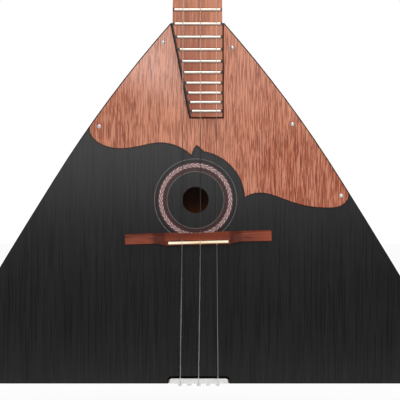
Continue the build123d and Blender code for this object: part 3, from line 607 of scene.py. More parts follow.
@dataclass(frozen=True)
class BoardTimber(Timber):
    """Fingerboard wood whose tone shifts from space to space, with a painted shadow beside each fret.

    Attributes:
        nut_z: Height of the nut's lower edge in metres.
        scale_length: Scale length in metres.
        line: Half width of the painted shadow beside each fret, in metres.
        red: Colour that the lower spaces lean to.
        red_from: Height where that begins.
        red_to: Height where it is full.
        worn: Where the paler right side begins and is full, in metres from the middle.
        steps: Frets in an octave.
        luck_weight: Most that one space may be darker than the next.
        below, above: Where the painted shadow on each side of a fret fades, as shares of the line's half width.
        fret_shadow_weight: Weight of the painted shadow on each side.
        streaks: Streaks per metre across the grain.
        dark_weight, light_weight: Weight of the dark and of the pale streaks.
        red_weight: Most of the red tone.
        worn_weight: Most of the pale tone of the right side.
    """

    nut_z: float = 0.0
    scale_length: float = 440 * MM
    line: float = 1.25 * MM
    red: Colour = (0.4, 0.1, 0.05)
    red_from: float = 0.0
    red_to: float = 0.0
    worn: Limits = (2 * MM, 17 * MM)
    steps: int = 12
    luck_weight: float = 0.45
    below: Limits = (-1.6, -0.8)
    above: Limits = (0.7, 1.2)
    fret_shadow_weight: float = 0.85
    streaks: float = 700.0
    dark_weight: float = 0.45
    light_weight: float = 0.5
    red_weight: float = 0.7
    worn_weight: float = 0.35

    def colour(self, graph: Graph) -> Tuple[Socket, Socket]:
        """Grain with the shifts of tone and the painted shadows beside the frets.

        Args:
            graph: Graph that is being built.

        Returns:
            The colour and the height.
        """
        tone, height = super().colour(graph)
        x, _, up = graph.axes(graph.coordinates)
        above_bridge = 1 - self.nut_z / self.scale_length
        left = graph.math("ADD", graph.times(up, 1 / self.scale_length), above_bridge)
        number = graph.times(graph.math("LOGARITHM", left, 2.0), -self.steps)
        luck = graph.chance(graph.math("FLOOR", number))
        tone = graph.mix(graph.times(luck, self.luck_weight), tone, self.dark)
        streaks = graph.noise(graph.place((1, 1, 0.05)), self.streaks, 3, 0.6)
        tone = graph.cover(tone, self.dark, streaks, 0.5, 0.62, self.dark_weight)
        tone = graph.cover(tone, self.light, streaks, 0.47, 0.38, self.light_weight)
        tone = graph.cover(tone, self.red, up, self.red_from, self.red_to, self.red_weight)
        tone = graph.cover(tone, self.light, x, *self.worn, self.worn_weight)
        # Painted shadow: the pore colour laid in a band on each side of every fret.
        whole = graph.math("FLOOR", graph.math("ADD", number, 0.5))
        wire = graph.math("POWER", 2.0, graph.times(whole, -1 / self.steps))
        gap = graph.times(graph.math("SUBTRACT", left, wire), self.scale_length / self.line)
        below = graph.span(gap, *self.below, 0.0, self.fret_shadow_weight)
        above = graph.span(gap, *self.above, self.fret_shadow_weight, 0.0)
        return graph.mix(graph.times(below, above), tone, self.pore), height


@dataclass(frozen=True)
class BridgeTimber(Timber):
    """Bridge wood that turns paler at its right end, with painted shade in the scoops beside the saddle.

    Attributes:
        fade: x in metres where the paler wood begins and where it is palest.
        fade_weight: Weight of the palest wood.
        scoop: Where the scoops lie, in metres from the middle.
        scoop_shade_weight: Weight of the painted shade in them.
        blur: Width of their soft ends in metres.
    """

    fade: Limits = (34 * MM, 60 * MM)
    fade_weight: float = 0.75
    scoop: Limits = (24 * MM, 33 * MM)
    scoop_shade_weight: float = 0.55
    blur: float = 3 * MM

    def colour(self, graph: Graph) -> Tuple[Socket, Socket]:
        """Grain that pales to the right, with painted shade in the scoops.

        Args:
            graph: Graph that is being built.

        Returns:
            The colour and the height.
        """
        tone, height = super().colour(graph)
        x, _, _ = graph.axes(graph.coordinates)
        # Painted shade: the pore colour laid over the scoops.
        scoops = graph.band(graph.math("ABSOLUTE", x), *self.scoop, self.blur)
        tone = graph.mix(graph.times(scoops, self.scoop_shade_weight), tone, self.pore)
        return graph.cover(tone, self.light, x, *self.fade, self.fade_weight), height


@dataclass(frozen=True)
class RingLines:
    """Thin inlaid rings: pale ones, a red-brown one and a broader black one.

    Attributes:
        name: Material name.
        centre: Centre of the rings in x and z, in metres.
        pale: Colour of the pale rings.
        brown: Colour of the red-brown ring.
        brown_ring: Inner and outer radius of that ring, in metres.
        black: Colour of the black ring.
        black_ring: Inner and outer radius of that ring, in metres.
        blur: Width of the soft edges of both, in metres.
        fibre: Fibres of the wood per metre.
        wear: Least and most roughness.
    """

    name: str
    centre: Tuple[float, float]
    pale: Colour
    brown: Colour
    brown_ring: Limits
    black: Colour
    black_ring: Limits
    blur: float = 0.1 * MM
    fibre: float = 900.0
    wear: Limits = (0.32, 0.45)

    def build(self) -> bpy.types.Material:
        """Make the material.

        Returns:
            The finished material.
        """
        graph = Graph.material(self.name)
        fibre = graph.noise(graph.place(), self.fibre, 4, 0.65)
        pale = graph.cover(self.pale, shade(self.pale, 0.5), fibre, *CLEAR)
        brown = graph.cover(self.brown, shade(self.brown, 0.55), fibre, *CLEAR)
        radius = graph.radius(self.centre)
        tone = graph.mix(graph.band(radius, *self.brown_ring, self.blur), pale, brown)
        tone = graph.mix(graph.band(radius, *self.black_ring, self.blur), tone, self.black)
        return graph.finish(
            Base_Color=tone, Roughness=graph.span(fibre, *SOFT, *self.wear), Specular_IOR_Level=0.05,
            Normal=graph.bump(fibre, 0.01 * MM), **INLAY_GLOSS,
        )


@dataclass(frozen=True)
class Braid:
    """Braided ring inlay: leaning pale chips in two rows on a dark ground.

    Attributes:
        name: Material name.
        centre: Centre of the ring in x and z, in metres.
        inner: Inner radius in metres.
        outer: Outer radius in metres.
        chips: Chips in a full turn of one row.
        light: Colour of the chips.
        ground: Colour between them.
        lean: Lean of a chip over one row, in chips.
        chip: Where a chip ends and where it is full, in chips from its middle.
        rim: The same for the dark rim of a row, as a share of its width.
        spine: The same for the dark line between the rows.
        cloud_scale: Clouds per metre in the chips.
        wear: Least and most roughness.
    """

    name: str
    centre: Tuple[float, float]
    inner: float
    outer: float
    chips: int
    light: Colour
    ground: Colour
    lean: float = 1.1
    chip: Limits = (0.36, 0.22)
    rim: Limits = (0.96, 0.84)
    spine: Limits = (0.03, 0.12)
    cloud_scale: float = 600.0
    wear: Limits = (0.3, 0.42)

    def build(self) -> bpy.types.Material:
        """Make the material.

        Returns:
            The finished material.
        """
        graph = Graph.material(self.name)
        x, z = graph.offsets(self.centre)
        share = graph.span(graph.radius(self.centre), self.inner, self.outer)
        row = graph.times(graph.math("SUBTRACT", share, 0.5), 2.0)
        fold = graph.math("ABSOLUTE", row)
        turn = graph.times(graph.math("ARCTAN2", z, x), self.chips / math.tau)
        leaning = graph.math("ADD", turn, graph.times(fold, self.lean))
        offset = graph.times(graph.math("GREATER_THAN", row, 0.0), 0.5)
        count = graph.math("ADD", graph.math("ADD", leaning, offset), 1000.0)  # Never below 0.
        cell = graph.math("FRACT", count)
        away = graph.math("ABSOLUTE", graph.math("SUBTRACT", cell, 0.5))
        cloud = graph.span(graph.noise(graph.place(), self.cloud_scale, 4), *SOFT)
        mask = graph.times(
            graph.span(away, *self.chip), graph.span(fold, *self.rim), graph.span(fold, *self.spine))
        tone = graph.mix(cloud, self.light, shade(self.light, 0.62))
        return graph.finish(
            Base_Color=graph.mix(mask, self.ground, tone), Roughness=graph.span(cloud, 0, 1, *self.wear),
            Normal=graph.bump(mask, 0.05 * MM), Specular_IOR_Level=0.1, **INLAY_GLOSS,
        )


@dataclass(frozen=True)
class Metal:
    """Metal with fine scratches and slight tarnish.

    Attributes:
        name: Material name.
        colour: Colour of the clean metal.
        tarnish: Colour of its dull patches.
        roughness: Roughness of the clean metal.
        scratch: Depth of the scratches in metres.
        brushed: Scale of the scratches along each axis.
        dulled: Weight of the dull patches.
        scratches: Scratches per metre.
        patches: Dull patches per metre.
        wear: Least and most roughness, as shares of the roughness.
    """

    name: str
    colour: Colour
    tarnish: Colour
    roughness: float = 0.18
    scratch: float = 0.004 * MM
    brushed: Scale = (1.0, 1.0, 1.0)
    dulled: float = 0.55
    scratches: float = 5200.0
    patches: float = 320.0
    wear: Limits = (0.75, 1.35)

    def build(self) -> bpy.types.Material:
        """Make the material.

        Returns:
            The finished material.
        """
        graph = Graph.material(self.name)
        least, most = self.wear
        lines = graph.noise(graph.place(self.brushed), self.scratches, 3, 0.7)
        dull = graph.span(graph.noise(graph.place(), self.patches, 4, 0.6), 0.45, 0.75)
        tone = graph.mix(graph.times(dull, self.dulled), self.colour, self.tarnish)
        rough = graph.span(lines, *SOFT, self.roughness * least, self.roughness * most)
        return graph.finish(
            Base_Color=tone, Metallic=1.0, Roughness=rough, Normal=graph.bump(lines, self.scratch))


@dataclass(frozen=True)
class Moulded:
    """Bone, pearl or plastic: soft cloudy colour under a smooth skin.

    Attributes:
        name: Material name.
        colour: Main colour.
        cloud: Colour of the clouds in it.
        cloud_scale: Clouds per metre.
        roughness: Roughness of the skin.
        scatter: Weight of the light that goes under the skin.
        coat: Weight of the polish.
        stretch: Scale of the clouds along each axis.
        coat_roughness: Roughness of the polish.
        reach: How far light goes under the skin, in metres.
        specks: Fine specks of the skin per metre.
        wear: Least and most roughness, as shares of the roughness.
    """

    name: str
    colour: Colour
    cloud: Colour
    cloud_scale: float = 260.0
    roughness: float = 0.32
    scatter: float = 0.0
    coat: float = 0.2
    stretch: Scale = (1.0, 1.0, 1.0)
    coat_roughness: float = 0.12
    reach: float = 2 * MM
    specks: float = 3000.0
    wear: Limits = (0.85, 1.2)

    def tint(self, graph: Graph, tone: Socket) -> Socket:
        """Leave the colour as it is; kinds of this finish may change it."""
        return tone

    def build(self) -> bpy.types.Material:
        """Make the material.

        Returns:
            The finished material.
        """
        graph = Graph.material(self.name)
        clouds = graph.noise(graph.place(self.stretch), self.cloud_scale, 4, 0.6, 1.2)
        specks = graph.noise(graph.place(), self.specks, 3, 0.6)
        tone = self.tint(graph, graph.cover(self.colour, self.cloud, clouds, 0.35, 0.68))
        least, most = self.wear
        rough = graph.span(specks, *SOFT, self.roughness * least, self.roughness * most)
        return graph.finish(
            Base_Color=tone, Roughness=rough, Normal=graph.bump(specks, 0.003 * MM), Coat_Weight=self.coat,
            Coat_Roughness=self.coat_roughness, Subsurface_Weight=self.scatter, Subsurface_Scale=self.reach,
        )


@dataclass(frozen=True)
class SaddleBone(Moulded):
    """Cream saddle with brown painted shade towards its two long edges.

    Attributes:
        edge: Colour of the painted shade at the edges.
        middle: Height of the saddle's middle in metres.
        slope: Rise of the saddle for each unit of x.
        core: Half width of the cream core in metres.
        edge_shade_weight: Weight of the painted shade at the edges.
    """

    edge: Colour = (0.4, 0.25, 0.12)
    middle: float = 0.0
    slope: float = 0.0
    core: float = 0.5 * MM
    edge_shade_weight: float = 0.75

    def tint(self, graph: Graph, tone: Socket) -> Socket:
        """Paint brown shade on the edges.

        Args:
            graph: Graph that is being built.
            tone: Colour of the clean saddle.

        Returns:
            The colour with painted shade at the edges.
        """
        x, _, up = graph.axes(graph.coordinates)
        line = graph.math("ADD", graph.times(x, self.slope), self.middle)
        away = graph.math("ABSOLUTE", graph.math("SUBTRACT", up, line))
        # Painted shade: the edge colour laid towards both long edges.
        return graph.cover(tone, self.edge, away, self.core, self.core * 2, self.edge_shade_weight)


class Places:
    """Reference places of the object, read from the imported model, in metres.

    Attributes:
        saddle_thick: Thickness of the saddle along the strings.
    """

    saddle_thick = 2.2 * MM

    def __init__(self) -> None:
        """Read the boxes of the nodes that other pieces are placed by."""
        self.deck_low, self.deck_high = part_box("soundboard")
        self.band_low, self.band_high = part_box("rosette_band")
        self.nut_low, self.nut_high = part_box("nut")
        self.plate_low, self.plate_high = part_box("scratch_plate")
        saddle_low, saddle_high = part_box("bridge_saddle")
        self.bridge_z = (saddle_low.z + saddle_high.z) / 2
        rise = saddle_high.z - saddle_low.z - self.saddle_thick
        self.bridge_slope = rise / (saddle_high.x - saddle_low.x)
        self.deck_middle = (self.deck_low.x + self.deck_high.x) / 2

    @property
    def rosette_centre(self) -> Tuple[float, float]:
        """Centre of the rosette in x and z."""
        return (self.band_low.x + self.band_high.x) / 2, (self.band_low.z + self.band_high.z) / 2

    @property
    def plate_middle(self) -> Tuple[float, float]:
        """Middle of the scratch plate's box in x and z."""
        return self.deck_middle, (self.plate_low.z + self.plate_high.z) / 2

    @property
    def band_outer(self) -> float:
        """Outer radius of the braided band."""
        return (self.band_high.x - self.band_low.x) / 2


@dataclass(frozen=True)
class StringSkin:
    """Smooth string skin: painted highlight below the bridge, dark over the body, paler painted highlight up the
    neck.

    Attributes:
        name: Material name.
        low: Colour of the painted highlight below the bridge.
        middle: Colour over the body.
        high: Colour of the painted highlight up the neck.
        places: Reference places of the object.
        alpha: Share of the light that the string stops.
        metallic: 1 for bare metal.
        over_wood: Colour where it crosses the bridge and picks up its stain.
        over_saddle: Colour where the saddle has rubbed off on it.
        over_nut: Colour where it bends round the tail nut.
        low_highlight_to: Height over the tail up to which the painted highlight reaches, in metres.
        neck_highlight_z: Where the painted highlight up the neck begins and is full, in metres over the neck
            joint.
        nut_z: The same for the tail nut's colour, in metres over the tail.
        wood_to: How far the bridge's colour reaches over the saddle's middle, in metres.
        saddle_half: Half the length that takes the saddle's colour, in metres.
        change_half: Half the length over which the low and the middle colour meet, in metres.
        blur: Width of the soft ends of the bridge's and the saddle's colours in metres.
        rubs: Rubbed patches per metre.
        wear: Least and most roughness.
    """

    name: str
    low: Colour
    middle: Colour
    high: Colour
    places: Places
    alpha: float = 1.0
    metallic: float = 0.0
    over_wood: Colour = srgb(104, 52, 38)
    over_saddle: Colour = srgb(236, 216, 178)
    over_nut: Colour = srgb(214, 214, 212)
    low_highlight_to: float = 35 * MM
    neck_highlight_z: Limits = (-80 * MM, -62 * MM)
    nut_z: Limits = (6 * MM, 4.5 * MM)
    wood_to: float = 11 * MM
    saddle_half: float = 1.5 * MM
    change_half: float = 2 * MM
    blur: float = 0.5 * MM
    rubs: float = 260.0
    wear: Limits = (0.3, 0.45)

    def build(self) -> bpy.types.Material:
        """Make the material.

        Returns:
            The finished material.
        """
        graph = Graph.material(self.name)
        _, _, up = graph.axes(graph.coordinates)
        rubbed = graph.noise(graph.place((1, 1, 0.05)), self.rubs, 3, 0.6)
        bridge, joint, tail = self.places.bridge_z, self.places.deck_high.z, self.places.deck_low.z
        half, change, blur = self.saddle_half, self.change_half, self.blur
        # Painted highlight: the low colour below the bridge, fading into the middle colour.
        low = graph.mix(graph.span(up, bridge, tail + self.low_highlight_to, 0.6, 0.0), self.low, self.middle)
        tone = graph.cover(low, self.middle, up, bridge - change, bridge + change)
        # Painted highlight: the high colour up the neck.
        tone = graph.cover(tone, self.high, up, joint + self.neck_highlight_z[0], joint + self.neck_highlight_z[1])
        tone = graph.cover(tone, self.middle, rubbed, 0.4, 0.65, 0.3)
        tone = graph.mix(graph.band(up, bridge + half, bridge + self.wood_to, blur), tone, self.over_wood)
        tone = graph.mix(graph.band(up, bridge - half, bridge + half, blur), tone, self.over_saddle)
        tone = graph.cover(tone, self.over_nut, up, tail + self.nut_z[0], tail + self.nut_z[1])
        return graph.finish(
            Base_Color=tone, Roughness=graph.span(rubbed, *SOFT, *self.wear), Metallic=self.metallic,
            Normal=graph.bump(rubbed, 0.002 * MM), Alpha=self.alpha,
        )


class Finishes:
    """Every finish of the object by its name: that of a material slot, or of a special piece.

    Attributes:
        braid_width: Width of the braided band in metres.
        lines: Colours of the dark lines, the last two painted shadow and painted shade.
    """

    braid_width = 3.8 * MM
    lines = {
        "edge_line": srgb(14, 12, 12), "plate_shadow_line": srgb(52, 27, 20), "painted_gap_shade": srgb(8, 5, 6)}

    def __init__(self, places: Places) -> None:
        """Build all the materials.

        Args:
            places: Reference places of the object.
        """
        kinds = (*self.woods(places), *self.inlays(places), *self.metals(), *self.moulded(places),
                 *self.strings(places))
        self.materials: Dict[str, bpy.types.Material] = {kind.name: kind.build() for kind in kinds}

    def woods(self, places: Places) -> Iterable[Timber]:
        """Woods, and the dark lines let into them, two of which are painted shadow and shade.

        Args:
            places: Reference places of the object.

        Returns:
            The finishes.
        """
        joint = places.deck_high.z
        yield StainedTop(
            "stained_spruce", srgb(28, 26, 28), srgb(17, 16, 18), srgb(8, 7, 8), band=330, fibre=1500,
            pores=0, contrast=0.4, roughness=0.5, coat=0.48, coat_roughness=0.18, level=0.03,
            relief=0.03 * MM, centre=places.rosette_centre, stain=srgb(56, 28, 28),
            ring=(21.4 * MM, 28.8 * MM))
        yield Timber(
            "raw_spruce", srgb(214, 184, 138), srgb(186, 148, 98), srgb(150, 110, 70), band=300, pores=0,
            roughness=0.7, coat=0.0)
        yield RibbonVeneer(
            "plate_veneer", srgb(212, 142, 110), srgb(162, 90, 64), srgb(82, 34, 22), band=60, pores=0,
            roughness=0.45, coat=0.04, coat_roughness=0.3, level=0.28, middle=places.plate_middle,
            # pale is the colour of the painted sheen at the plate's upper left.
            pale=srgb(226, 178, 164), amber=srgb(150, 72, 36), russet=srgb(150, 66, 30),
            streak=srgb(210, 146, 118))
        yield Timber(
            "back_maple", srgb(158, 92, 54), srgb(96, 48, 30), srgb(58, 28, 20), band=90, pores=600,
            figure=0.5, roughness=0.32, coat=0.8, coat_roughness=0.1)
        yield Timber(
            "neck_maple", srgb(164, 98, 60), srgb(104, 54, 34), srgb(60, 30, 22), figure=0.35,
            roughness=0.38, coat=0.45, coat_roughness=0.16)
        yield BoardTimber(
            "fingerboard_wood", srgb(214, 142, 106), srgb(132, 68, 46), srgb(60, 28, 22), band=150,
            fibre=1100, pores=1000, contrast=0.75, roughness=0.46, coat=0.1, level=0.3,
            nut_z=places.nut_low.z, red=srgb(134, 56, 32), red_from=joint + 10 * MM, red_to=joint - 60 * MM)
        yield Timber(
            "overlay_veneer", srgb(176, 108, 78), srgb(112, 58, 40), srgb(60, 30, 24), band=130, pores=900,
            figure=0.15, roughness=0.36, coat=0.4)
        yield BridgeTimber(
            "bridge_wood", srgb(148, 70, 44), srgb(62, 20, 11), srgb(22, 8, 6), grain=Grain.ACROSS,
            band=320, fibre=1400, pores=900, contrast=0.75, roughness=0.45, coat=0.03, level=0.2)
        yield Timber(
            "pin_wood", srgb(74, 50, 42), srgb(36, 22, 20), srgb(18, 10, 10), band=600, pores=1500,
            roughness=0.3, coat=0.5)
        for name, light in self.lines.items():
            dark = shade(light, 0.4)
            yield Timber(name, light, dark, dark, band=500, pores=0, roughness=0.6, coat=0.0, level=0.02)

    def inlays(self, places: Places) -> Iterable[Union[Braid, RingLines]]:
        """Finishes of the rosette.

        Args:
            places: Reference places of the object.

        Returns:
            The finishes.
        """
        rosette, outer = places.rosette_centre, places.band_outer
        yield Braid(
            "rosette", rosette, outer - self.braid_width, outer, 46, srgb(206, 176, 176), srgb(76, 38, 38))
        yield RingLines(
            "rosette_edge", rosette, srgb(108, 102, 102), srgb(62, 32, 32), (21.8 * MM, 28.1 * MM),
            srgb(22, 20, 22), (28.1 * MM, 29.9 * MM))

    def metals(self) -> Iterable[Metal]:
        """Metals of the fittings and frets.

        Returns:
            The finishes.
        """
        yield Metal("nickel", (0.86, 0.85, 0.83), (0.62, 0.60, 0.56), 0.16)
        yield Metal("nickel_plate", (0.74, 0.73, 0.70), (0.5, 0.48, 0.44), 0.3, 0.008 * MM, (0.04, 1.0, 1.0))
        yield Metal("steel_rod", (0.5, 0.5, 0.51), (0.3, 0.28, 0.26), 0.4)
        yield Metal("brass_gear", (0.80, 0.60, 0.28), (0.48, 0.34, 0.16), 0.26)
        yield Metal("steel_shaft", (0.66, 0.66, 0.67), (0.4, 0.39, 0.37), 0.24, 0.006 * MM, (0.1, 1.0, 1.0))
        yield Metal("fret_wire", (0.80, 0.76, 0.68), (0.62, 0.57, 0.49), 0.36, 0.002 * MM, dulled=0.4)
        yield Metal("pin_head", (0.62, 0.61, 0.62), (0.4, 0.38, 0.37), 0.24, dulled=0.3)

    def moulded(self, places: Places) -> Iterable[Moulded]:
        """Finishes of bone, pearl and plastic.

        Args:
            places: Reference places of the object.

        Returns:
            The finishes.
        """
        yield Moulded("pearl", srgb(238, 234, 226), srgb(200, 206, 208), 420, 0.2, 0.1, 0.6)
        yield Moulded(
            "bone", srgb(240, 232, 210), srgb(222, 206, 172), 180, 0.34, 0.15, stretch=(1.0, 1.0, 0.2))
        # ivory_plastic paints brown shade along the saddle's two long edges.
        yield SaddleBone(
            "ivory_plastic", srgb(255, 240, 212), srgb(240, 214, 172), 160, 0.28, 0.1,
            stretch=(0.15, 1.0, 1.0), edge=srgb(150, 104, 62), middle=places.bridge_z,
            slope=places.bridge_slope)
        yield Moulded("white_plastic", srgb(222, 222, 220), srgb(210, 210, 208), 200, 0.34)
        yield Moulded("knob_plastic", srgb(240, 234, 222), srgb(208, 204, 198), 150, 0.2, 0.15, 0.6)

    def strings(self, places: Places) -> Iterable[StringSkin]:
        """Finishes of the strings.

        Args:
            places: Reference places of the object.

        Returns:
            The finishes.
        """
        # The low and high colours of each string are painted highlights.
        yield StringSkin(
            "nylon_string", srgb(168, 166, 165), srgb(34, 28, 27), srgb(206, 178, 164), places, alpha=0.38)
        yield StringSkin(
            "steel_string", srgb(150, 149, 148), srgb(66, 58, 56), srgb(196, 184, 176), places, metallic=0.6)

    def dress(self, piece: bpy.types.Object, slot: str) -> None:
        """Give a piece one finish.

        Args:
            piece: Piece to dress.
            slot: Name of the finish.
        """
        piece.data.materials.clear()
        piece.data.materials.append(self.materials[slot])


@dataclass(frozen=True)
class Softening:
    """Rounds the hard edges of carried-over nodes and shades their curved faces smooth.

    Attributes:
        width: Width of the rounded edge in metres, 0 for none.
        segments: Faces across it.
        smooth_angle: Angle in radians over which an edge stays hard or is rounded.
        weld: Distance in metres under which corners are one.
        evenness: How much large faces lead the shading beside them, in per cent.
    """

    width: float
    segments: int = 3
    smooth_angle: float = math.radians(32)
    weld: float = 0.002 * MM
    evenness: int = 100

    def apply(self, piece: bpy.types.Object) -> None:
        """Add the modifiers to one node.

        Args:
            piece: Node to soften.
        """
        weld = piece.modifiers.new("weld", "WELD")
        weld.merge_threshold = self.weld
        if self.width > 0:
            rounding = piece.modifiers.new("rounding", "BEVEL")
            rounding.width = self.width
            rounding.segments = self.segments
            rounding.limit_method = "ANGLE"
            rounding.angle_limit = self.smooth_angle
            rounding.harden_normals = False
            even = piece.modifiers.new("even", "WEIGHTED_NORMAL")
            even.weight = self.evenness
        else:
            split = piece.modifiers.new("split", "EDGE_SPLIT")
            split.split_angle = self.smooth_angle
            split.use_edge_sharp = False
        piece.data.polygons.foreach_set("use_smooth", [True] * len(piece.data.polygons))


@dataclass
class Shop:
    """Shared way of turning a bmesh into a piece of the object.

    Attributes:
        finishes: Every finish of the object.
    """

    finishes: Finishes

    def piece(self, name: str, shape: bmesh.types.BMesh, body: Body, finish: str, slot: str,
              replaced: Iterable[str] = (), smooth: bool = True) -> bpy.types.Object:
        """Make a piece from a bmesh, dress it and let it ride.

        Args:
            name: Name of the piece.
            shape: Its mesh, in place.
            body: Body it moves with.
            finish: Name of its finish.
            slot: The record's slot; not used.
            replaced: Nodes that it stands for.
            smooth: True to shade it smooth.

        Returns:
            The piece.
        """
        mesh = bpy.data.meshes.new(name)
        for face in shape.faces:
            face.smooth = smooth
        shape.to_mesh(mesh)
        shape.free()
        made = put_in_scene(name, mesh)
        self.finishes.dress(made, finish)
        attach(made, body.value)
        if replaced:
            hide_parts(*replaced)
        log.info("piece %s: %d faces", name, len(mesh.polygons))
        return made


class Stretch(Enum):
    """Stretches of a board's edge, told apart by the fingerboard that lies beside them."""

    ALL = "all"
    BESIDE_FINGERBOARD = "beside the fingerboard"
    ELSEWHERE = "elsewhere"

    def holds(self, point: Vector) -> bool:
        """Tell whether a point is part of the stretch.

        Args:
            point: Point on the edge, in metres.

        Returns:
            True when it is.
        """
        low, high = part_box("fingerboard")
        near = 2.5 * MM
        beside = low.x - near < point.x < high.x + near and point.z > low.z - near
        return self is Stretch.ALL or beside == (self is Stretch.BESIDE_FINGERBOARD)


@dataclass
class EdgeLine:
    """Thin dark line let into the outer edge of a flat board's front face; on the scratch plate it is painted
    shadow and painted shade.

    Attributes:
        node: Board that carries the line.
        name: Name of the piece.
        width: Width of the line in metres.
        finish: Name of its finish.
        stretch: Which stretch of the edge carries the line.
        proud: How far the line stands over the face, in metres.
        depth: How deep it goes into the board, in metres.
        weld: Distance in metres under which corners are one.
        flat: Distance from the front in metres up to which a corner counts as part of it.
        straight: Angle in radians under which faces are joined.
    """

    node: str
    name: str
    width: float
    finish: str
    stretch: Stretch = Stretch.ALL
    proud: float = 0.02 * MM
    depth: float = 0.25 * MM
    weld: float = 0.002 * MM
    flat: float = 0.01 * MM
    straight: float = math.radians(0.5)

    def build(self, shop: Shop) -> bpy.types.Object:
        """Cut the ring from the board's own front face and thicken it.

        Args:
            shop: Maker of pieces.

        Returns:
            The line.
        """
        shape = bmesh.new()
        shape.from_mesh(frame["nodes"][self.node].data)
        bmesh.ops.remove_doubles(shape, verts=shape.verts, dist=self.weld)
        back = min(vert.co.y for vert in shape.verts) + self.flat
        other = [face for face in shape.faces if any(vert.co.y > back for vert in face.verts)]
        bmesh.ops.delete(shape, geom=other, context="FACES")
        bmesh.ops.dissolve_limit(
            shape, angle_limit=self.straight, verts=shape.verts, edges=shape.edges, delimit=set())
        ring = bmesh.ops.inset_region(
            shape, faces=shape.faces[:], thickness=self.width, use_boundary=True,
            use_even_offset=True)["faces"]
        keep = {face for face in self.outer_island(ring) if self.stretch.holds(face.calc_center_median())}
        rest = [face for face in shape.faces if face not in keep]
        bmesh.ops.delete(shape, geom=rest, context="FACES")
        bmesh.ops.translate(shape, verts=shape.verts, vec=(0, -self.proud, 0))
        walls = bmesh.ops.extrude_face_region(shape, geom=shape.faces[:])
        moved = [item for item in walls["geom"] if isinstance(item, bmesh.types.BMVert)]
        bmesh.ops.translate(shape, verts=moved, vec=(0, self.proud + self.depth, 0))
        bmesh.ops.recalc_face_normals(shape, faces=shape.faces)
        return shop.piece(self.name, shape, Body.INSTRUMENT, self.finish, "stained_spruce", smooth=False)

    @staticmethod
    def outer_island(faces: Sequence[bmesh.types.BMFace]) -> Set[bmesh.types.BMFace]:
        """Faces of the ring that lies outermost.

        Args:
            faces: Faces of all rings.

        Returns:
            The faces of the widest connected ring.
        """
        left = set(faces)
        best: Set[bmesh.types.BMFace] = set()
        best_width = -1.0
        while left:
            stack = [left.pop()]
            island = set(stack)
            while stack:
                for edge in stack.pop().edges:
                    for face in edge.link_faces:
                        if face in left:
                            left.discard(face)
                            island.add(face)
                            stack.append(face)
            across = [vert.co.x for face in island for vert in face.verts]
            width = max(across) - min(across)
            if width > best_width:
                best, best_width = island, width
        return best


@dataclass
class StringTurns:
    """Turns of a string round its post, which stand for the plain winding.

    Attributes:
        number: Number of the post.
        wire: Radius of the string in metres.
        finish: Finish of the string.
        steps: Points in one turn.
        sides: Sides of the wire.
        pitch: Least climb of a turn, in wire radii.
    """

    number: int
    wire: float
    finish: str
    steps: int = 28
    sides: int = 8
    pitch: float = 2.1

    def build(self, shop: Shop) -> bpy.types.Object:
        """Spin a small disc round the post's axis while it climbs.

        Args:
            shop: Maker of pieces.

        Returns:
            The turns.
        """
        joint = next(item for item in frame["joints"] if item["name"] == f"peg_{self.number}_turn")
        centre, axis, across = Vector(joint["pos_m"]), Vector(joint["axis"]), Vector((1, 0, 0))
        offsets = [vert.co - centre for vert in frame["nodes"][f"winding_{self.number}"].data.vertices]
        heights = [offset.dot(axis) for offset in offsets]
        reach = max((offset - axis * height).length for offset, height in zip(offsets, heights))
        low = min(heights) + self.wire
        high = max(heights) - self.wire
        turns = max(2, int((high - low) / (self.pitch * self.wire)))
        shape = bmesh.new()
        start = centre + axis * low + across * (reach - self.wire)
        facing = Matrix.Rotation(math.pi / 2, 4, "X") @ across.to_track_quat("X", "Z").to_matrix().to_4x4()
        disc = bmesh.ops.create_circle(
            shape, cap_ends=True, radius=self.wire, segments=self.sides,
            matrix=Matrix.Translation(start) @ facing)
        profile = list(shape.faces) + list(shape.edges) + disc["verts"]
        step_up = axis * ((high - low) / (turns * self.steps))
        bmesh.ops.spin(
            shape, geom=profile, cent=centre, axis=axis, dvec=step_up, angle=math.tau * turns,
            steps=self.steps * turns, use_merge=False)
        bmesh.ops.recalc_face_normals(shape, faces=shape.faces)
        return shop.piece(
            f"string_turns_{self.number}", shape, Body(f"peg_{self.number}"), self.finish, self.finish,
            [f"winding_{self.number}"])


@dataclass(frozen=True)
class Lamp:
    """Square soft lamp.

    Attributes:
        name: Name of the lamp.
        place: Where it stands, from the soundboard's middle, in metres.
        target: Point that it faces, from the same middle.
        size: Side of the lamp in metres.
        power: Power in watts.
    """

    name: str
    place: Tuple[float, float, float]
    target: Tuple[float, float, float]
    size: float
    power: float

    def build(self, middle: Vector) -> None:
        """Add the lamp.

        Args:
            middle: Middle of the soundboard.
        """
        data = bpy.data.lights.new(self.name, "AREA")
        data.size = self.size
        data.energy = self.power
        lamp = put_in_scene(self.name, data)
        lamp.location = middle + Vector(self.place)
        lamp.rotation_euler = (Vector(self.target) - Vector(self.place)).to_track_quat("-Z", "Y").to_euler()


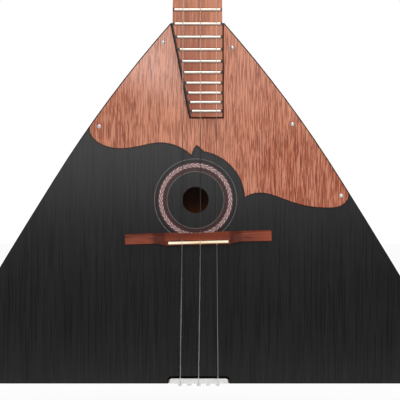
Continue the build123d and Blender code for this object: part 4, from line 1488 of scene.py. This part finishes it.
@dataclass
class Studio:
    """Floor, backdrop, lamps, surroundings and camera.

    Attributes:
        places: Reference places of the object.
        width: Width in metres that the view takes in at the soundboard.
        distance: Distance in metres from the camera to the soundboard.
        aim_x: Sideways place of the camera from the soundboard's middle.
        aim_z: Height of the camera over the soundboard's lower edge.
        sensor: Width of the camera's sensor in millimetres.
        clip: Nearest and farthest distance that the camera sees, in metres.
        dim: Brightness of the room behind the camera in reflections.
        room: Brightness of the room behind the camera and elsewhere, as light on the object.
        behind: Where the room is darkest and where it is brightest for that light, as y of a direction.
        mirrored: The same for the room in reflections.
        paper: Least and most brightness of the floor's paper.
        glow: Share of white in the floor where it is seen straight or in a reflection.
        floor_dim: Where the floor is dim and where it is bright in reflections, as y in metres.
        floor_reach: Half the side of the floor in metres.
        floor_gap: Gap between the object and the floor in metres.
        lamps: The lamps.
    """

    places: Places
    width: float = 296.8 * MM
    distance: float = 1.55
    aim_x: float = 1.9 * MM
    aim_z: float = 136.2 * MM
    sensor: float = 36.0
    clip: Limits = (0.05, 50.0)
    dim: float = 0.06
    room: Limits = (0.35, 0.8)
    behind: Limits = (-1.0, -0.1)
    mirrored: Limits = (-1.0, -0.55)
    paper: Limits = (0.84, 0.88)
    glow: float = 0.9
    floor_dim: Limits = (-0.9, 0.0)
    floor_reach: float = 6.0
    floor_gap: float = 20 * MM
    lamps: Tuple[Lamp, ...] = (
        Lamp("window", (-0.14, -1.9, 0.53), (-0.14, 0, 0.53), 1.0, 11.0),
        Lamp("fill", (0.9, -1.0, 0.2), (0, 0, 0), 0.9, 2.5),
        Lamp("top", (0.1, -0.5, 1.3), (0, 0, 0), 0.7, 6.0),
    )

    def camera(self) -> None:
        """Place the camera square to the soundboard."""
        data = bpy.data.cameras.new("camera")
        data.sensor_width = self.sensor
        data.lens = self.sensor * self.distance / self.width
        data.clip_start, data.clip_end = self.clip
        camera = put_in_scene("camera", data)
        place = Vector((
            self.places.deck_middle + self.aim_x, self.places.deck_low.y - self.distance,
            self.places.deck_low.z + self.aim_z))
        camera.matrix_world = Matrix.Translation(place) @ Matrix.Rotation(math.radians(90), 4, "X")
        bpy.context.scene.camera = camera

    def backdrop_material(self, name: str) -> bpy.types.Material:
        """White paper that shows white to the camera, keeps a shadow and is dim in front in reflections.

        Args:
            name: Name of the material.

        Returns:
            The material.
        """
        graph = Graph.material(name)
        paper = graph.tree.nodes.new("ShaderNodeBsdfDiffuse")
        cloudy = graph.span(graph.noise(graph.place(), 3.0, 2), *SOFT, *self.paper)
        graph.set(paper.inputs["Color"], cloudy)
        glow = graph.tree.nodes.new("ShaderNodeEmission")
        glow.inputs["Color"].default_value = (1, 1, 1, 1)
        _, deep, _ = graph.axes(graph.coordinates)
        camera = self.rays(graph)["Is Camera Ray"]
        shown = graph.span(deep, *self.floor_dim, self.dim, 1.0)
        graph.set(glow.inputs["Strength"], graph.math("MAXIMUM", camera, shown))
        mixed = graph.tree.nodes.new("ShaderNodeMixShader")
        seen = graph.math("MAXIMUM", self.reflected(graph), camera)
        graph.set(mixed.inputs["Fac"], graph.times(seen, self.glow))
        graph.tree.links.new(paper.outputs["BSDF"], mixed.inputs[1])
        graph.tree.links.new(glow.outputs["Emission"], mixed.inputs[2])
        output = graph.tree.nodes.new("ShaderNodeOutputMaterial")
        graph.tree.links.new(mixed.outputs["Shader"], output.inputs["Surface"])
        return graph.owner

    @staticmethod
    def rays(graph: Graph) -> bpy.types.bpy_prop_collection:
        """Outputs that tell what kind of ray asks."""
        return graph.tree.nodes.new("ShaderNodeLightPath").outputs

    def reflected(self, graph: Graph) -> Socket:
        """1 for rays that come by way of a mirror or through glass.

        Args:
            graph: Graph that is being built.

        Returns:
            The share, 0 or 1.
        """
        rays = self.rays(graph)
        return graph.math("MAXIMUM", rays["Is Glossy Ray"], rays["Is Transmission Ray"])

    def floor(self, low: Vector) -> None:
        """Lay a wide floor just below the object.

        Args:
            low: Lowest corner of the object.
        """
        shape = bmesh.new()
        bmesh.ops.create_grid(shape, x_segments=8, y_segments=8, size=self.floor_reach)
        bmesh.ops.translate(shape, verts=shape.verts, vec=(0, 0, low.z - self.floor_gap))
        mesh = bpy.data.meshes.new("floor")
        shape.to_mesh(mesh)
        shape.free()
        floor = put_in_scene("floor", mesh)
        mesh.materials.append(self.backdrop_material("paper"))
        floor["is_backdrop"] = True

    def surroundings(self) -> None:
        """White room, dimmer behind the camera, as light for the object and its reflections."""
        world = bpy.data.worlds.new("room")
        bpy.context.scene.world = world
        graph = Graph(world)
        direction = graph.tree.nodes.new("ShaderNodeTexCoord").outputs["Generated"]
        _, deep, _ = graph.axes(direction)
        plain = graph.span(deep, *self.behind, *self.room)
        bright = graph.span(deep, *self.mirrored, self.dim, 1.0)
        reflected = self.reflected(graph)
        seen = self.rays(graph)["Is Camera Ray"]
        lit = graph.times(plain, graph.math("SUBTRACT", 1.0, reflected))
        light = graph.math("ADD", lit, graph.times(bright, reflected))
        room = graph.tree.nodes.new("ShaderNodeBackground")
        room.inputs["Color"].default_value = (1, 1, 1, 1)
        graph.set(room.inputs["Strength"], graph.math("MAXIMUM", light, seen))
        output = graph.tree.nodes.new("ShaderNodeOutputWorld")
        graph.tree.links.new(room.outputs["Background"], output.inputs["Surface"])

    def build(self, low: Vector) -> None:
        """Set up the whole studio.

        Args:
            low: Lowest corner of the object.
        """
        self.camera()
        self.surroundings()
        for lamp in self.lamps:
            lamp.build((self.places.deck_low + self.places.deck_high) / 2)
        self.floor(low)
        bpy.context.scene.view_settings.view_transform = "Standard"
        log.info("studio ready")


@dataclass
class Instrument:
    """The whole object: carried-over nodes with their finishes, and the pieces added to them.

    Attributes:
        shop: Maker of pieces.
        rounding: Width in metres of the rounded edges of some nodes.
        special: Nodes whose finish isn't that of their slot.
        lines: The dark lines; those on the scratch plate are painted shadow and painted shade.
        strings: Wire radius in metres and finish of each string.
    """

    shop: Shop
    rounding: Dict[str, float] = field(default_factory=lambda: {
        "bridge": 0.45 * MM, "bottom_panel": 0.4 * MM, "head_overlay": 0.3 * MM, "tail_nut": 0.25 * MM})
    special: Dict[str, str] = field(default_factory=lambda: {
        # tail_block takes the near-black finish as painted shade in the gap round the tail nut.
        "frets": "fret_wire", "scratch_plate_pins": "pin_head", "tail_block": "painted_gap_shade"})
    lines: Tuple[EdgeLine, ...] = (
        EdgeLine("soundboard", "soundboard_edge_line", 0.6 * MM, "edge_line"),
        # Painted shadow along the scratch plate's edge.
        EdgeLine(
            "scratch_plate", "scratch_plate_shadow_line", 0.45 * MM, "plate_shadow_line", Stretch.ELSEWHERE),
        # Painted shade in the gap beside the fingerboard.
        EdgeLine(
            "scratch_plate", "fingerboard_gap_shade", 0.7 * MM, "painted_gap_shade", Stretch.BESIDE_FINGERBOARD),
    )
    strings: Tuple[Tuple[float, str], ...] = (
        (0.35 * MM, "nylon_string"), (0.35 * MM, "nylon_string"), (0.2 * MM, "steel_string"))

    def dress_nodes(self) -> None:
        """Give every node its finish and softer edges."""
        slots = {item["node"]: item["material_slot"] for item in frame["record"]["subparts"]}
        for name, node in frame["nodes"].items():
            self.shop.finishes.dress(node, self.special.get(name, slots[name]))
            Softening(self.rounding.get(name, 0.0)).apply(node)
        log.info("%d nodes dressed", len(frame["nodes"]))

    def build(self) -> None:
        """Dress the nodes and add the fine pieces."""
        self.dress_nodes()
        for line in self.lines:
            line.build(self.shop)
        for number, (wire, finish) in enumerate(self.strings, 1):
            StringTurns(number, wire, finish).build(self.shop)


def main() -> None:
    """Build the object's looks and the studio round it."""
    logging.basicConfig(level=logging.INFO)
    cad_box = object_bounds()
    places = Places()
    shop = Shop(Finishes(places))
    Instrument(shop).build()
    Studio(places).build(cad_box[0])


if __name__ == "__main__":
    main()
